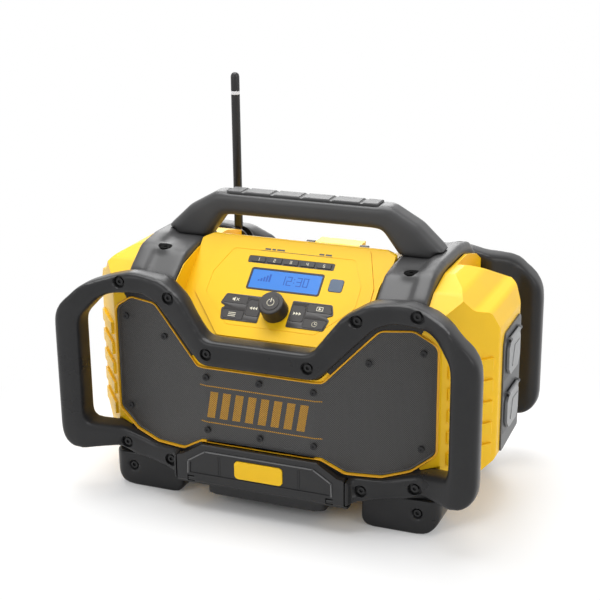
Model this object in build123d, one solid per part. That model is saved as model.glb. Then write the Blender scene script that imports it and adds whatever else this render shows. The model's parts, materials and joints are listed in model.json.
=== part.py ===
"""Jobsite radio in a bumper cage, in millimetres.

X runs to the right seen from the front, Y to the back and Z up. The mid-plane is X = 0, the split
between the two housings is Y = 0, and the feet stand on Z = 0.
"""

from build123d import *
import math
import os

os.makedirs("parts", exist_ok=True)

# Fits and cuts
slip = 0.3                  # gap between pieces that move or drop in
pin_play = 0.05             # radial play of a hinge pin in its bore
thread_play = 0.1           # radial play of a screw in the housing that it bites
hole_play = 0.2             # radial play of a screw in the piece that it holds
door_play = 0.8             # gap round the device door
reach = 600.0               # beyond every face, for cuts that pass right through

# Bumper cage, seen from the front
cage_half = 250.0
upright_width = 32.0
upright_top = 205.0
upright_low = 85.0
window_corner = 22.0        # reach of the windows' slanted corners
shoulder_top = 268.0
shoulder_bar = 24.0
shoulder_slant = 36.0       # from the cage's side to the end of its shoulder
vee_half = 62.0
vee_top = 206.0
vee_bar = 30.0
lower_outer = 57.0
bay_gap_half = 102.5
rear_post_in = 92.0
rear_post_out = 116.0

# Bumper cage, seen from above: distance of its faces from the mid-plane, and its depths
cage_face_centre = 147.0
cage_face_shoulder = 127.0
cage_face_upright = 154.0
cage_depth_centre = 29.0
cage_depth_shoulder = 27.0
cage_depth_upright = 30.0

# Housing
wall = 3.0
front_wall = 7.0
nose_behind = 8.0           # from the cage's front face back to the housing's nose
side_inside = 6.0           # from the cage's side in to the housing's
body_side_half = 46.0
nose_half = 65.0
nose_sweep = 0.267
corner_cut = 48.0           # width of the housing's slanted corners
rear_flat_half = 92.0
rear_side_y = 100.0
body_floor = 42.0
belly_half = 103.0
belly_floor = 31.0
side_low = 74.0
side_top = 226.0
shelf_width = 22.0          # low shelf of the shoulders, outside their domes
shelf_rise = 25.0
bulge_top = 279.0
fall_y = 0.0                # the shoulders fall away behind here, outside the saddles
fall_knee_y = 60.0
fall_knee = 27.0
fall_rear = 65.0
fall_from_saddle = 4.0
ridge_y = -18.0
split_y = 0.0
rib_heights = (88.0, 113.0, 138.0, 163.0, 188.0)
rib_size = (58.0, 6.0, 14.0)
rib_edge = 1.2

# Control panel plane
panel_slope = 0.9
panel_ref_y = -84.0
panel_ref_z = 233.3
panel_thick = 3.0
panel_proud = 1.2
panel_ledge = 4.0
panel_rim = 14.0            # width of the panel's flat margin
panel_groove = 0.6
panel_groove_depth = 0.4
panel_low = -43.5
panel_mid = 22.0
panel_high = 84.0
panel_low_half = 60.0
panel_taper = 16.0          # how much narrower the panel's top is than its middle
panel_post_r = 4.0
panel_post_low = (52.0, -28.0)
panel_post_high = 50.0
panel_post_inset = 6.0

# Controls, in the panel's plane
display_half = 44.0
display_low = 18.5
display_high = 47.0
display_rim = 2.0
strip_half = 52.0
strip_low = 53.0
strip_high = 62.0
preset_count = 5
preset_half = 8.5
preset_half_high = 3.0
preset_pitch = 20.0
pairing_u = 60.5
pairing_v = 34.5
pairing_half = 8.0
button_proud = 0.6
button_deep = 2.5
stem_r = 2.0
key_height = 0.8
key_rows = {
    "key_upper_left": [(-66, -2, 1.5), (-62, 8, 2), (-36, 8, 1.5), (-36, -2, 1.5)],
    "key_lower_left": [(-60, -22, 1.5), (-63, -11, 2), (-36, -11, 1.5), (-36, -22, 1.5)],
    "key_back": [(-34.5, -16, 3), (-34.5, 4, 3), (-18.5, 4, 1.5), (-18.5, -16, 1.5)],
    "key_forward": [(34.5, -16, 3), (34.5, 4, 3), (18.5, 4, 1.5), (18.5, -16, 1.5)],
    "key_upper_right": [(66, -2, 1.5), (62, 8, 2), (36, 8, 1.5), (36, -2, 1.5)],
    "key_lower_right": [(60, -22, 1.5), (63, -11, 2), (36, -11, 1.5), (36, -22, 1.5)],
}
knob_v = -6.0
knob_r = 15.2
knob_top_r = 14.4
knob_edge = 1.5
knob_low = 1.5
knob_high = 20.5
cap_r = 9.5
cap_proud = 0.5
cap_thick = 4.0
cap_pocket = 5.0
shaft_r = 3.0
shaft_below_top = 9.0
collar_step = 1.2
encoder_half = 8.0
button_floor = -9.0
board_depth = -12.0
board_thick = 1.6
control_board_margin = 2.0
control_board_low = -30.0
control_board_high = 62.0

# Grille
grille_thick = 2.0
grille_sink = 1.5
grille_margin = 4.0         # from the end of the nose in to the grille
grille_top = 172.0
grille_shoulder_gap = 10.0  # from the cage's shoulder bar down to the grille
grille_low = 85.0
grille_foot = 67.0
grille_head_r = 3.6
grille_shank_r = 1.3
grille_drive_r = 1.2
grille_hole_r = 1.8
grille_bite_r = 1.5

# Speakers
speaker_z = 148.0
speaker_flange_r = 48.0
speaker_flange = 2.5
speaker_hole_r = 42.0
basket_depth = 30.0
basket_rim = 4.0
basket_wall = 3.0
magnet_r = 26.0
magnet_thick = 12.0
cone_r = 37.0
cone_gap = 1.0
cone_depth = 14.0
cone_rim = 3.0
cone_sink = 4.0

# Saddles over the shoulders
saddle_inset = 36.0         # from the end of the cage's shoulder in to a saddle
saddle_width = 60.0
saddle_margin = 14.0        # from a saddle to the control panel's widest point
saddle_step = 28.0          # the saddles start further out behind the ridge
saddle_step_y = 20.0
saddle_crown = 291.5
saddle_bar = 20.0           # width and rise of the roll bar along a saddle's outer side
saddle_bar_rise = 6.0
skirt_thick = 4.0           # skirts from the saddles' inner sides down to the sloped deck
skirt_sink = 3.0
skirt_front_y = -98.0
skirt_rear_y = -24.0
skirt_slant = 12.0          # how much nearer the middle a skirt's rear end stands
saddle_thick = 16.0
bolt_y = 62.0
bolt_sink_r = 7.0
bolt_seat = 13.0            # depth of a bolt's seat under the crown
bolt_head_r = 6.4
bolt_head = 4.5
bolt_shank_r = 3.0
bolt_length = 22.0

# Carry handle
handle_width = 34.0
handle_top = 340.0
handle_bar = 27.0
handle_inset = 12.0         # from the saddle's inner side to the end of the straight grip
handle_edge = 9.0
pad_margin = 14.0
pad_thick = 4.0
pad_proud = 1.5
pad_width = 22.0
pad_edge = 2.0
pad_grooves = 5
pad_groove_pitch = 36.0
pad_groove_r = 4.0

# Screws
screw_head_r = 4.2
screw_head = 3.0
screw_shank_r = 2.1
screw_sink_r = 6.0
screw_sink = 5.5
screw_length = 20.0
screw_inset = 75.0          # from the cage's side to its outer screws
screw_top_drop = 12.0
hex_across = 4.0
hex_depth = 2.0

# Feet and skid plate
foot_in = 110.0
foot_inside = 50.0          # from the cage's side in to a foot's
foot_screw_inset = 25.0
foot_behind = 3.0           # from the back of the cage's middle to the foot's end
foot_length = 53.0
foot_inner_r = 12.0
foot_outer_r = 24.0
foot_plan_r = 14.0
foot_edge_r = 4.0
lug_half = 16.0
lug_inset = 15.0
lug_length = 22.0
lug_low = 10.0
foot_screw_z = 25.0
skid_low = 15.0
skid_half = 72.0
skid_front_half = 60.0
skid_front_y = 131.0
skid_side_y = 127.0
skid_back_y = 112.0
pocket_count = 3
pocket_pitch = 40.0
pocket_half = 16.0
pocket_front_y = 105.0
pocket_back_y = 100.0

# Device bay at the front
bay_half = 78.0
bay_low = 39.0
bay_top = 78.0
bay_depth = 60.0
bay_wall = 2.5
bay_flange = 3.0
bay_pocket_depth = 8.0
door_gap = 1.5              # from the door's end to the cage beside it
door_behind = 2.0           # from the cage's front face back to the door's
door_low = 33.0
door_top = 81.5
door_top_half = 69.0
door_shoulder = 65.0
door_thick = 8.0
door_skin = 3.0
door_pin_r = 1.55
ear_x = 84.0
ear_width = 8.0
ear_r = 3.0
latch_half = 29.0
latch_low = 47.0
latch_high = 68.5
latch_corner = 5.0
latch_proud = 1.5
latch_travel = 2.5
latch_frame = 5.0
port_x = 24.0
port_half = 12.0
port_low = 50.0
port_high = 66.0
port_depth = 12.0
jack_r = 1.8

# Battery bay at the rear
pack_half = 74.0
pack_low = 78.0
pack_top = 232.0
pack_depth = 56.0
pack_wall = 2.5
pack_flange = 3.0
flange_reach = 6.0
boss_r = 4.0
boss_length = 8.0
dock_half = 28.0
dock_low = 100.0
dock_high = 176.0
dock_base = 12.0
rail_x = 24.0
rail_half = 4.0
rail_high = 170.0
rail_depth = 20.0
blade_places = (-11.0, -4.0, 4.0, 11.0)
cover_gap = 1.0
cover_half = 87.0
cover_low = 64.0
cover_top = 243.0
cover_thick = 15.0
cover_skin = 3.0
cover_edge = 5.0
cover_pin_r = 2.0
cover_ear_x = 60.0
cover_ear_width = 10.0
cover_ear_r = 4.0
clasp_half = 29.0
clasp_inset = 12.0
clasp_z = 250.0
clasp_r = 5.0
clasp_pin_r = 1.5
clasp_lug = 11.0
clasp_lug_r = 6.0
clasp_reach = 22.0
clasp_base_low = 236.0
clasp_base_top = 243.5

# Boards and power supply
main_board_half = 70.0
main_board_low = 92.0
main_board_high = 216.0
supply_box = (104.0, 172.0, 10.0, 76.0)
supply_top = 100.0
supply_edge = 4.0

# Antenna
mast_from_saddle = 21.0
mast_y = 90.0
mast_z = 252.0
mast_r = 4.5
mast_tip = 461.0
mast_ring = 446.0
ring_height = 5.0
pod_r = 17.0
pod_half = 9.0
pod_slot = 30.0
mast_room = 1.0
channel_end = 94.0
knuckle_r = 10.0
knuckle_half = 4.0
antenna_pin_r = 2.0

# Outlets on the right side
outlet_front = -33.0
outlet_back = 42.0
outlet_low = 80.0
outlet_top = 214.0
outlet_y = 3.0
outlet_z = (183.0, 119.0)
outlet_plate = 5.0
outlet_sink = 3.0
socket_half_y = 21.0
socket_half_z = 18.0
socket_depth = 26.0
socket_lip = 2.0
blade_slot_y = 6.3
flap_half_y = 25.0
flap_half_z = 21.0
flap_corner = 9.0
flap_thick = 3.0
flap_pin_r = 1.2
flap_barrel_r = 2.2
flap_ear_r = 2.4
flap_pin_out = 1.4

# Cord inlet at the rear
gland_x = 150.0
gland_z = 96.0
gland_r = 9.0
gland_rim = 4.0
cord_bore_r = 4.5
gland_in = 14.0
gland_out = 6.0

# Sizes that follow from those above
cage_back_centre = cage_face_centre - cage_depth_centre
cage_back_shoulder = cage_face_shoulder - cage_depth_shoulder
cage_back_upright = cage_face_upright - cage_depth_upright
vee_low = vee_top - vee_bar
shoulder_low = shoulder_top - shoulder_bar
shoulder_out = cage_half - shoulder_slant
window_side = cage_half - upright_width
window_bend = window_side - window_corner
window_low = upright_low + 3
body_front = cage_face_centre - nose_behind
body_rear = cage_back_centre
body_side = cage_half - side_inside
nose_end = body_side - corner_cut
nose_out = body_front - nose_sweep * (nose_end - nose_half)
grille_side = nose_end - grille_margin
grille_seat = grille_sink + grille_thick
grille_shoulder = shoulder_low - grille_shoulder_gap
saddle_out = shoulder_out - saddle_inset
saddle_in = saddle_out - saddle_width
panel_mid_half = saddle_in - saddle_margin
panel_high_half = panel_mid_half - panel_taper
panel_posts = (panel_post_low, (panel_high_half - panel_post_inset, panel_post_high))
saddle_rear_in = saddle_in + saddle_step
shoulder_in = saddle_in - 10
speaker_x = (nose_end + nose_half - 1) / 2
handle_top_half = saddle_in - handle_inset
pad_half = handle_top_half - pad_margin
bolt_x = (saddle_in + saddle_out) / 2
bolt_x_rear = (saddle_rear_in + saddle_out) / 2
screw_x = cage_half - screw_inset
foot_out = cage_half - foot_inside
foot_screw_x = foot_out - foot_screw_inset
foot_front = cage_back_centre - foot_behind
foot_back = foot_front - foot_length
lug_front = foot_front - lug_inset
lug_back = lug_front - lug_length
door_half = bay_gap_half - door_gap
door_front = cage_face_centre - door_behind
bay_pocket = body_front - bay_pocket_depth
bay_front = bay_pocket + bay_flange
bay_back = bay_front - bay_depth
pack_front = body_rear - pack_depth
clasp_y = body_rear - clasp_inset
mast_x = -(saddle_rear_in - mast_from_saddle)
preset_places = [(index - (preset_count - 1) / 2) * preset_pitch for index in range(preset_count)]
strip_middle = (strip_low + strip_high) / 2
panel_tilt = math.degrees(math.atan(panel_slope))
panel_frame = Plane(origin=(0, panel_ref_y, panel_ref_z), x_dir=(1, 0, 0),
                    z_dir=(0, -math.sin(math.radians(panel_tilt)), math.cos(math.radians(panel_tilt))))
knob_frame = Plane(panel_frame * Pos(0, knob_v, 0))
ridge_z = panel_ref_z + panel_slope * (ridge_y - panel_ref_y)


# ---------------------------------------------------------------- shapes

def filled(points, grow=0.0):
    """Face inside an outline of (a, b, corner radius) points, its edge moved outwards by grow."""
    corners = [(a, b) for a, b, radius in points]
    radii = [radius for a, b, radius in points]
    face = make_face(FilletPolyline(*corners, radius=radii, close=True))
    if grow:
        face = offset(face, amount=grow, kind=Kind.INTERSECTION)
    return face


def slab_xz(points, y_from, y_to, grow=0.0):
    """Solid between two Y planes, with its outline drawn in X and Z."""
    return extrude(Plane.XZ.offset(-y_to) * filled(points, grow), amount=y_to - y_from)


def slab_yz(points, x_from, x_to, grow=0.0):
    """Solid between two X planes, with its outline drawn in Y and Z."""
    return extrude(Plane.YZ.offset(x_from) * filled(points, grow), amount=x_to - x_from)


def slab_xy(points, z_from, z_to, grow=0.0):
    """Solid between two Z planes, with its outline drawn in X and Y."""
    return extrude(Plane.XY.offset(z_from) * filled(points, grow), amount=z_to - z_from)


def both_sides(right_half):
    """Closed outline from its right-hand points, in order from one end to the other."""
    left_half = [(-a, b, radius) for a, b, radius in reversed(right_half)]
    return right_half + left_half


def block(x_from, x_to, y_from, y_to, z_from, z_to):
    """Box between six planes."""
    size = (x_to - x_from, y_to - y_from, z_to - z_from)
    middle = ((x_from + x_to) / 2, (y_from + y_to) / 2, (z_from + z_to) / 2)
    return Pos(*middle) * Box(*size)


def rod_x(radius, x_from, x_to, y, z):
    """Cylinder along X."""
    return Pos((x_from + x_to) / 2, y, z) * Rot(0, 90, 0) * Cylinder(radius, x_to - x_from)


def rod_y(radius, x, y_from, y_to, z):
    """Cylinder along Y."""
    return Pos(x, (y_from + y_to) / 2, z) * Rot(90, 0, 0) * Cylinder(radius, y_to - y_from)


def rod_z(radius, x, y, z_from, z_to):
    """Cylinder along Z."""
    return Pos(x, y, (z_from + z_to) / 2) * Cylinder(radius, z_to - z_from)


def on_plane(plane, radius, low, high):
    """Cylinder on a plane's origin, between two heights along its normal."""
    return extrude(plane.offset(low) * Circle(radius), amount=high - low)


def fuse(shapes):
    """One shape from a list of overlapping ones."""
    total = shapes[0]
    for shape in shapes[1:]:
        total = total + shape
    return total


def screw(shank_r, head_r, head, length):
    """Socket-head screw with its head's top at Z = 0 and its shank downwards."""
    drive = RegularPolygon(hex_across / 2, 6, major_radius=False)
    socket = extrude(Plane.XY.offset(-hex_depth) * drive, amount=hex_depth + 1)
    cap = Pos(0, 0, -head / 2) * Cylinder(head_r, head)
    shank = Pos(0, 0, -head - length / 2) * Cylinder(shank_r, length)
    return cap + shank - socket


def interpolate(points, x):
    """Value at x on a line through (x, value) points."""
    for (x0, v0), (x1, v1) in zip(points, points[1:]):
        if x0 <= x <= x1:
            return v0 + (v1 - v0) * (x - x0) / (x1 - x0)
    return points[-1][1]


def mirror_spots(spots):
    """The spots, and the same ones on the left."""
    return [(side * x, z) for x, z in spots for side in (-1, 1)]


def save(shape, node):
    """Write one node's solids."""
    export_step(shape, f"parts/{node}.step")


# ---------------------------------------------------------------- cage outlines

window_middle = (window_bend + bay_gap_half + 29.5) / 2

cage_face = [(0, cage_face_centre), (vee_half, cage_face_centre), (shoulder_in + 2, cage_face_shoulder + 7),
             (window_side - 68, cage_face_shoulder), (window_side - 38, cage_face_shoulder),
             (window_side + 4, cage_face_upright), (cage_half, cage_face_upright)]
cage_back = [(vee_half + 14, cage_back_centre), (saddle_in, cage_back_shoulder),
             (window_bend - 4, cage_back_shoulder), (window_side + 4, cage_back_upright),
             (cage_half, cage_back_upright)]


def cage_outline():
    """Outside of the cage seen from the front."""
    return both_sides([
        (vee_half, vee_top, 12), (shoulder_in - 14, shoulder_top - 20, 20),
        (shoulder_in + 14, shoulder_top - 4, 24), (shoulder_out - 54, shoulder_top, 30),
        (shoulder_out, shoulder_top - 13, 40), (cage_half, upright_top + 16, 40),
        (cage_half, lower_outer - 3, 27), (window_side - 32, lower_outer - 3, 20),
        (window_middle, lower_outer - 13, 14), (bay_gap_half + 25.5, lower_outer - 18, 12),
        (bay_gap_half, lower_outer - 25, 2)])


def window_foot():
    """Outer and lower part of a cage window, shared by both cages."""
    return [(window_bend, shoulder_low - 4, 24), (window_side, upright_top + 9, 22),
            (window_side, window_low, 12), (window_bend, upright_low - 4, 16),
            (window_middle, upright_low - 13, 14)]


def cage_window():
    """The single window of the front cage, around the nose of the housing."""
    top = [(vee_half + 8, vee_low, 10), (shoulder_in + 20, shoulder_low - 8, 16),
           (shoulder_in + 40, shoulder_low, 20)]
    foot = [(bay_gap_half + 33.5, lower_outer + 7, 12), (bay_gap_half - 4.5, lower_outer + 9, 10),
            (bay_gap_half - 30.5, lower_outer + 25, 6)]
    return both_sides(top + window_foot() + foot)


def rear_window():
    """Right-hand window of the rear cage."""
    return [(rear_post_out, shoulder_low - 12, 12), (rear_post_out + 24, shoulder_low, 16)] \
        + window_foot() + [(rear_post_out, lower_outer + 11, 10)]


def cage_band(grow=0.0):
    """The cage's depth seen from above, on the +Y side."""
    face_side = [(x, y, 14) for x, y in cage_face[1:-1]] + [(cage_half, cage_face_upright, 10)]
    back_side = [(cage_half, cage_back_upright, 10)] + [(x, y, 12) for x, y in reversed(cage_back[:-1])]
    right = face_side + back_side
    left = [(-x, y, radius) for x, y, radius in reversed(right)]
    return slab_xy(right + left, -reach, reach, grow)


def cage_depth(at_x):
    """Distance of the cage's outer face from the mid-plane at x."""
    return interpolate(cage_face, abs(at_x))


def front_cage(grow=0.0):
    """Front cage as one ring, open below where the device bay sits."""
    ring = slab_xz(cage_outline(), -reach, 0, grow) - slab_xz(cage_window(), -2 * reach, reach, -grow)
    half = bay_gap_half - grow
    gap = block(-half, half, -reach, 0, -reach, vee_low - vee_bar)
    return (ring - gap) & mirror(cage_band(grow), Plane.XZ)


def rear_cage(grow=0.0):
    """Rear cage with a window each side and an open middle for the battery cover."""
    floor = cover_low - 2
    ring = slab_xz(cage_outline(), 0, reach, grow)
    window = slab_xz(rear_window(), -reach, 2 * reach, -grow)
    middle = block(-rear_post_in + grow, rear_post_in - grow, -reach, reach, floor + grow, reach)
    lower = block(-bay_gap_half - 1, bay_gap_half + 1, 0, reach, lower_outer - 23 - grow, floor)
    ring = ring + lower - window - mirror(window, Plane.YZ) - middle
    return ring & cage_band(grow)


# ---------------------------------------------------------------- housing volumes

def panel_z(y):
    """Height of the control panel's plane at y."""
    return panel_ref_z + panel_slope * (y - panel_ref_y)


def body_plan(front_inset, inset):
    """Housing seen from above, with its faces moved inwards."""
    nose_in = nose_out + nose_sweep * inset - front_inset
    front = [(nose_half, -body_front + front_inset, 4), (nose_end - inset, -nose_in, 6),
             (body_side - inset, -body_side_half + inset / 2, 8)]
    rear = [(body_side - inset, body_side_half - inset / 2, 8), (nose_end - inset, rear_side_y - inset, 6),
            (rear_flat_half, body_rear - inset, 6)]
    return both_sides(front + rear)


def body_section(front_inset, inset):
    """Middle of the housing seen from the side."""
    steep = math.hypot(1, panel_slope) * inset
    return [(-body_front + front_inset, belly_floor + inset, 0),
            (-body_front + front_inset, panel_z(-body_front + front_inset) - steep, 0),
            (ridge_y, ridge_z - steep, 5), (ridge_y + 40, bulge_top - 4 - inset, 16),
            (body_rear - 30, bulge_top - 26 - inset, 10), (body_rear - inset, bulge_top - 41 - inset, 5),
            (body_rear - inset, belly_floor + inset, 0)]


def shoulder_section(inset):
    """Shoulders of the housing seen from the side."""
    top = bulge_top - inset
    return [(-body_front, body_floor, 0), (-body_front, top - 67, 0), (-body_front + 34, top - 29, 12),
            (-body_front + 61, top - 10, 18), (-38, top, 30), (38, top, 30), (body_rear - 40, top - 10, 18),
            (body_rear, top - 32, 0), (body_rear, body_floor, 0)]


def shoulder_fall(inset):
    """Space behind the dome of the right shoulder, outside the saddle."""
    top = bulge_top - inset
    points = [(fall_y - 40, top, 0), (fall_y, top, 40), (fall_knee_y, top - fall_knee, 40),
              (body_rear + 1, top - fall_rear, 0), (body_rear + 1, reach, 0), (fall_y - 40, reach, 0)]
    return slab_yz(points, saddle_out + fall_from_saddle - inset, reach)


def body_front_view(inset):
    """Outside of the housing seen from the front."""
    return both_sides([
        (belly_half - inset, belly_floor + inset, 3), (belly_half - inset, body_floor + inset, 2),
        (body_side - 38 - inset / 2, body_floor + inset, 12), (body_side - inset, side_low + inset / 2, 10),
        (body_side - inset, side_top - inset / 2, 10),
        (body_side - 8 - inset, side_top + shelf_rise - 5 - inset / 2, 10),
        (body_side - shelf_width - inset, side_top + shelf_rise - inset, 12),
        (body_side - shelf_width - 14 - inset / 2, bulge_top - 8 - inset, 16),
        (saddle_out + 12, bulge_top - inset, 14),
        (saddle_in + 18, bulge_top - inset, 20), (panel_mid_half, ridge_z - inset, 8)])


def body_volume(front_inset, inset):
    """Housing as a closed volume, its faces moved inwards by the wall for the cavity."""
    middle = slab_yz(body_section(front_inset, inset), -saddle_in + inset, saddle_in - inset)
    shoulders = slab_yz(shoulder_section(inset), -body_side - 1, body_side + 1)
    half = saddle_in - 1 + inset
    above = block(-half, half, -reach, reach, bulge_top / 2, reach)
    above = above - slab_yz(body_section(front_inset, inset), -half - 1, half + 1)
    shoulders = shoulders - above
    outline = slab_xz(body_front_view(inset), -reach, reach)
    plan = slab_xy(body_plan(front_inset, inset), 0, reach)
    fall = shoulder_fall(inset)
    return ((middle + shoulders) & outline & plan) - fall - mirror(fall, Plane.YZ)


def saddle_underside(low):
    """Arched underside of a saddle seen from the side, from the back to the front."""
    return [(bolt_y, low - 8, 20), (30, low, 20), (-30, low, 20), (-bolt_y, low - 8, 20)]


def saddle_section(drop):
    """Saddle seen from the side, its top moved down."""
    end = cage_back_shoulder - slip
    lip = shoulder_low
    crown = saddle_crown - drop
    front = [(-end, lip, 0), (-end, crown - 28.5, 6), (-bolt_y - 6, crown - 5, 20), (-34, crown, 20)]
    rear = [(-y, z, radius) for y, z, radius in reversed(front)]
    return front + rear + saddle_underside(saddle_crown - saddle_thick)


def saddle_skirt(grow):
    """Wedge between the right saddle and the sloped deck, its inner side nearer the middle at the rear."""
    front = skirt_front_y - grow
    rear = skirt_rear_y + grow
    side = [(front, panel_z(front) - skirt_sink - grow, 0), (rear, panel_z(rear) - skirt_sink - grow, 0),
            (rear, saddle_crown - 10 + grow, 0), (-bolt_y - 6, saddle_crown - 15 + grow, 0),
            (front, saddle_crown - 38 + grow, 0)]
    plan = [(saddle_in - grow, front, 0), (saddle_in - skirt_slant - grow, rear, 0),
            (saddle_in + skirt_thick + grow, rear, 0), (saddle_in + skirt_thick + grow, front, 0)]
    return slab_yz(side, 0, reach) & slab_xy(plan, 0, reach)


def saddle_notch(grow):
    """Space that a saddle takes out of the right shoulder."""
    end = cage_back_shoulder + 10
    floor = shoulder_low - 8 - grow
    points = [(-end, floor, 0), (-end, reach, 0), (end, reach, 0), (end, floor, 0)] \
        + saddle_underside(saddle_crown - saddle_thick - grow)
    notch = slab_yz(points, saddle_in - grow, saddle_out + grow)
    keep = block(0, saddle_rear_in - grow, saddle_step_y + grow, reach, 0, reach)
    leg_half = handle_width / 2 + grow
    leg_low = saddle_crown - saddle_thick + 7.5 - grow
    leg = block(saddle_in - 12 - grow, saddle_in + 2, -leg_half, leg_half, leg_low, reach)
    return notch - keep + leg + saddle_skirt(grow)


def antenna_well(grow):
    """Pocket for the antenna's pod, and the channel that the folded mast lies in."""
    half = pod_half + slip + grow
    pod = rod_y(pod_r + slip + grow, mast_x, mast_y - half, mast_y + half, mast_z)
    above = block(mast_x - pod_r - grow, mast_x + pod_r + 20, mast_y - half, mast_y + half, mast_z, reach)
    room = mast_r + mast_room + grow
    channel = block(mast_x, channel_end + grow, mast_y - room, mast_y + room, mast_z - room, reach)
    return pod + above + channel


def carve(volume, grow):
    """Cut the seats of the cage, the saddles and the antenna out of the housing."""
    notch = saddle_notch(slip + grow)
    volume = volume - front_cage(slip + grow) - rear_cage(slip + grow)
    volume = volume - notch - mirror(notch, Plane.YZ)
    return volume - antenna_well(grow)


# ---------------------------------------------------------------- panel shapes

def panel_outline(inset):
    """Hexagon of the control panel in its own plane."""
    return both_sides([
        (panel_low_half - inset / 2, panel_low + inset, 5), (panel_mid_half - inset, panel_mid - 14, 12),
        (panel_mid_half - inset, panel_mid + 14, 12), (panel_high_half - inset, panel_high - inset, 6)])


def on_panel(points, low, high, grow=0.0):
    """Solid on the control panel's plane, between two heights along its normal."""
    return extrude(panel_frame.offset(low) * filled(points, grow), amount=high - low)


def panel_block(u_from, u_to, v_from, v_to, low, high, radius=0.0):
    """Rounded block on the control panel's plane."""
    points = [(u_from, v_from, radius), (u_to, v_from, radius), (u_to, v_to, radius), (u_from, v_to, radius)]
    return on_panel(points, low, high)


def panel_rod(radius, u, v, low, high):
    """Cylinder along the control panel's normal."""
    disc = Pos(u, v) * Circle(radius)
    return extrude(panel_frame.offset(low) * disc, amount=high - low)


# ---------------------------------------------------------------- grille and speaker places

def grille_outline():
    """Outside of the grille seen from the front."""
    return both_sides([
        (nose_half + 10, grille_top, 8), (shoulder_in + 14, grille_shoulder - 13, 14),
        (shoulder_in + 26, grille_shoulder - 1, 12), (grille_side - 24, grille_shoulder, 14),
        (grille_side, grille_shoulder - 16, 14), (grille_side, grille_low + 10, 12),
        (grille_side - 26, grille_foot + 8, 14), ((grille_side + 80) / 2, grille_foot, 12),
        (nose_half + 33, grille_foot + 2, 12), (nose_half + 7, grille_low, 6)])


def nose_y(x):
    """Front face of the housing's nose at x."""
    return -body_front + nose_sweep * max(0.0, abs(x) - nose_half)


def nose_layer(near, far):
    """Layer that follows the nose's swept face, between two depths behind that face."""
    end = body_side
    front = [(nose_half, nose_y(0) + near), (end, nose_y(end) + near)]
    back = [(end, nose_y(end) + far), (nose_half, nose_y(0) + far)]
    return slab_xy(both_sides([(x, y, 0) for x, y in front + back]), 0, reach)


def speaker_frame(side):
    """Plane behind the nose that a speaker's flange lies against, its normal to the front."""
    lean = math.atan(nose_sweep) * side
    y = nose_y(speaker_x) + front_wall
    return Plane(origin=(side * speaker_x, y, speaker_z), x_dir=(0, 0, 1),
                 z_dir=(math.sin(lean), -math.cos(lean), 0))


# ---------------------------------------------------------------- places of screws

screw_top = shoulder_top - screw_top_drop
screw_low = lower_outer + 3
front_screw_spots = mirror_spots([
    (screw_x, screw_top), (shoulder_in + 3, screw_top - 10), (vee_half - 2, vee_top - vee_bar / 2),
    (screw_x, screw_low), (bay_gap_half + 13.5, screw_low - 10)])
post_x = (rear_post_in + rear_post_out) / 2
rear_screw_spots = mirror_spots([
    (screw_x, screw_top), (post_x, screw_top - 34), (post_x, screw_low + 50), (screw_x, screw_low)])
grille_spots = mirror_spots([
    (grille_side - 14, grille_shoulder - 24), (shoulder_in + 14, grille_shoulder - 37),
    (nose_half - 1, grille_top - 11), (nose_half - 1, grille_low + 13), (grille_side - 15, grille_low + 15)])
grille_spots = grille_spots + [(0, grille_top - 10), (0, grille_low + 12)]
bolt_spots = [(-bolt_x, -bolt_y), (bolt_x, -bolt_y), (-bolt_x_rear, bolt_y), (bolt_x_rear, bolt_y)]


def screw_tip(x):
    """Distance from the mid-plane of a cage screw's tip."""
    return cage_depth(x) - screw_sink - screw_length


# ---------------------------------------------------------------- housings

def rib_pads():
    """Raised grip pads on the four slanted corners of the housing."""
    pads = []
    for rear, y_in in ((1, rear_side_y), (-1, nose_out)):
        middle_x = (nose_end + body_side) / 2
        middle_y = rear * (y_in + body_side_half) / 2
        slant = math.degrees(math.atan2(y_in - body_side_half, body_side - nose_end))
        for z in rib_heights:
            pad = Pos(middle_x, middle_y, z) * Rot(0, 0, -rear * slant) * Box(*rib_size)
            pad = chamfer(pad.edges().filter_by(Axis.Z), rib_edge)
            pads.append(pad)
            pads.append(mirror(pad, Plane.YZ))
    return pads


def outlet_outline(grow=0.0):
    """Outline of the outlet panel on the right side."""
    return [(outlet_front - grow, outlet_low - 4 - grow, 3), (outlet_back + grow, outlet_low - grow, 3),
            (outlet_back + grow, outlet_top + 2 + grow, 6), (outlet_front + 6 - grow, outlet_top + grow, 6),
            (outlet_front - grow, outlet_top - 12 + grow, 6)]


def foot_lugs():
    """Lugs of the housings that the feet go over."""
    lugs = []
    for side_x in (-1, 1):
        for side_y in (-1, 1):
            x_range = sorted((side_x * (foot_screw_x - lug_half), side_x * (foot_screw_x + lug_half)))
            y_range = sorted((side_y * lug_back, side_y * lug_front))
            lugs.append(block(*x_range, *y_range, lug_low, body_floor + wall))
    return lugs


def screw_holes():
    """Holes in the housings for the cage's, saddles', feet's and grille's screws."""
    bore = screw_shank_r + thread_play
    holes = [rod_y(bore, x, -body_front - 6, -screw_tip(x), z) for x, z in front_screw_spots]
    holes += [rod_y(bore, x, screw_tip(x), body_front + 6, z) for x, z in rear_screw_spots]
    holes += [rod_z(bolt_shank_r + thread_play, x, y, bulge_top - 29, bulge_top + 21) for x, y in bolt_spots]
    tip = foot_front - screw_sink - screw_head - screw_length
    for x in (-foot_screw_x, foot_screw_x):
        holes += [rod_y(bore, x, *sorted((side * tip, side * (foot_front + 15))), foot_screw_z)
                  for side in (-1, 1)]
    holes += [rod_y(grille_bite_r, x, nose_y(x) - 2, nose_y(x) + front_wall + 4, z) for x, z in grille_spots]
    return holes


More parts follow.
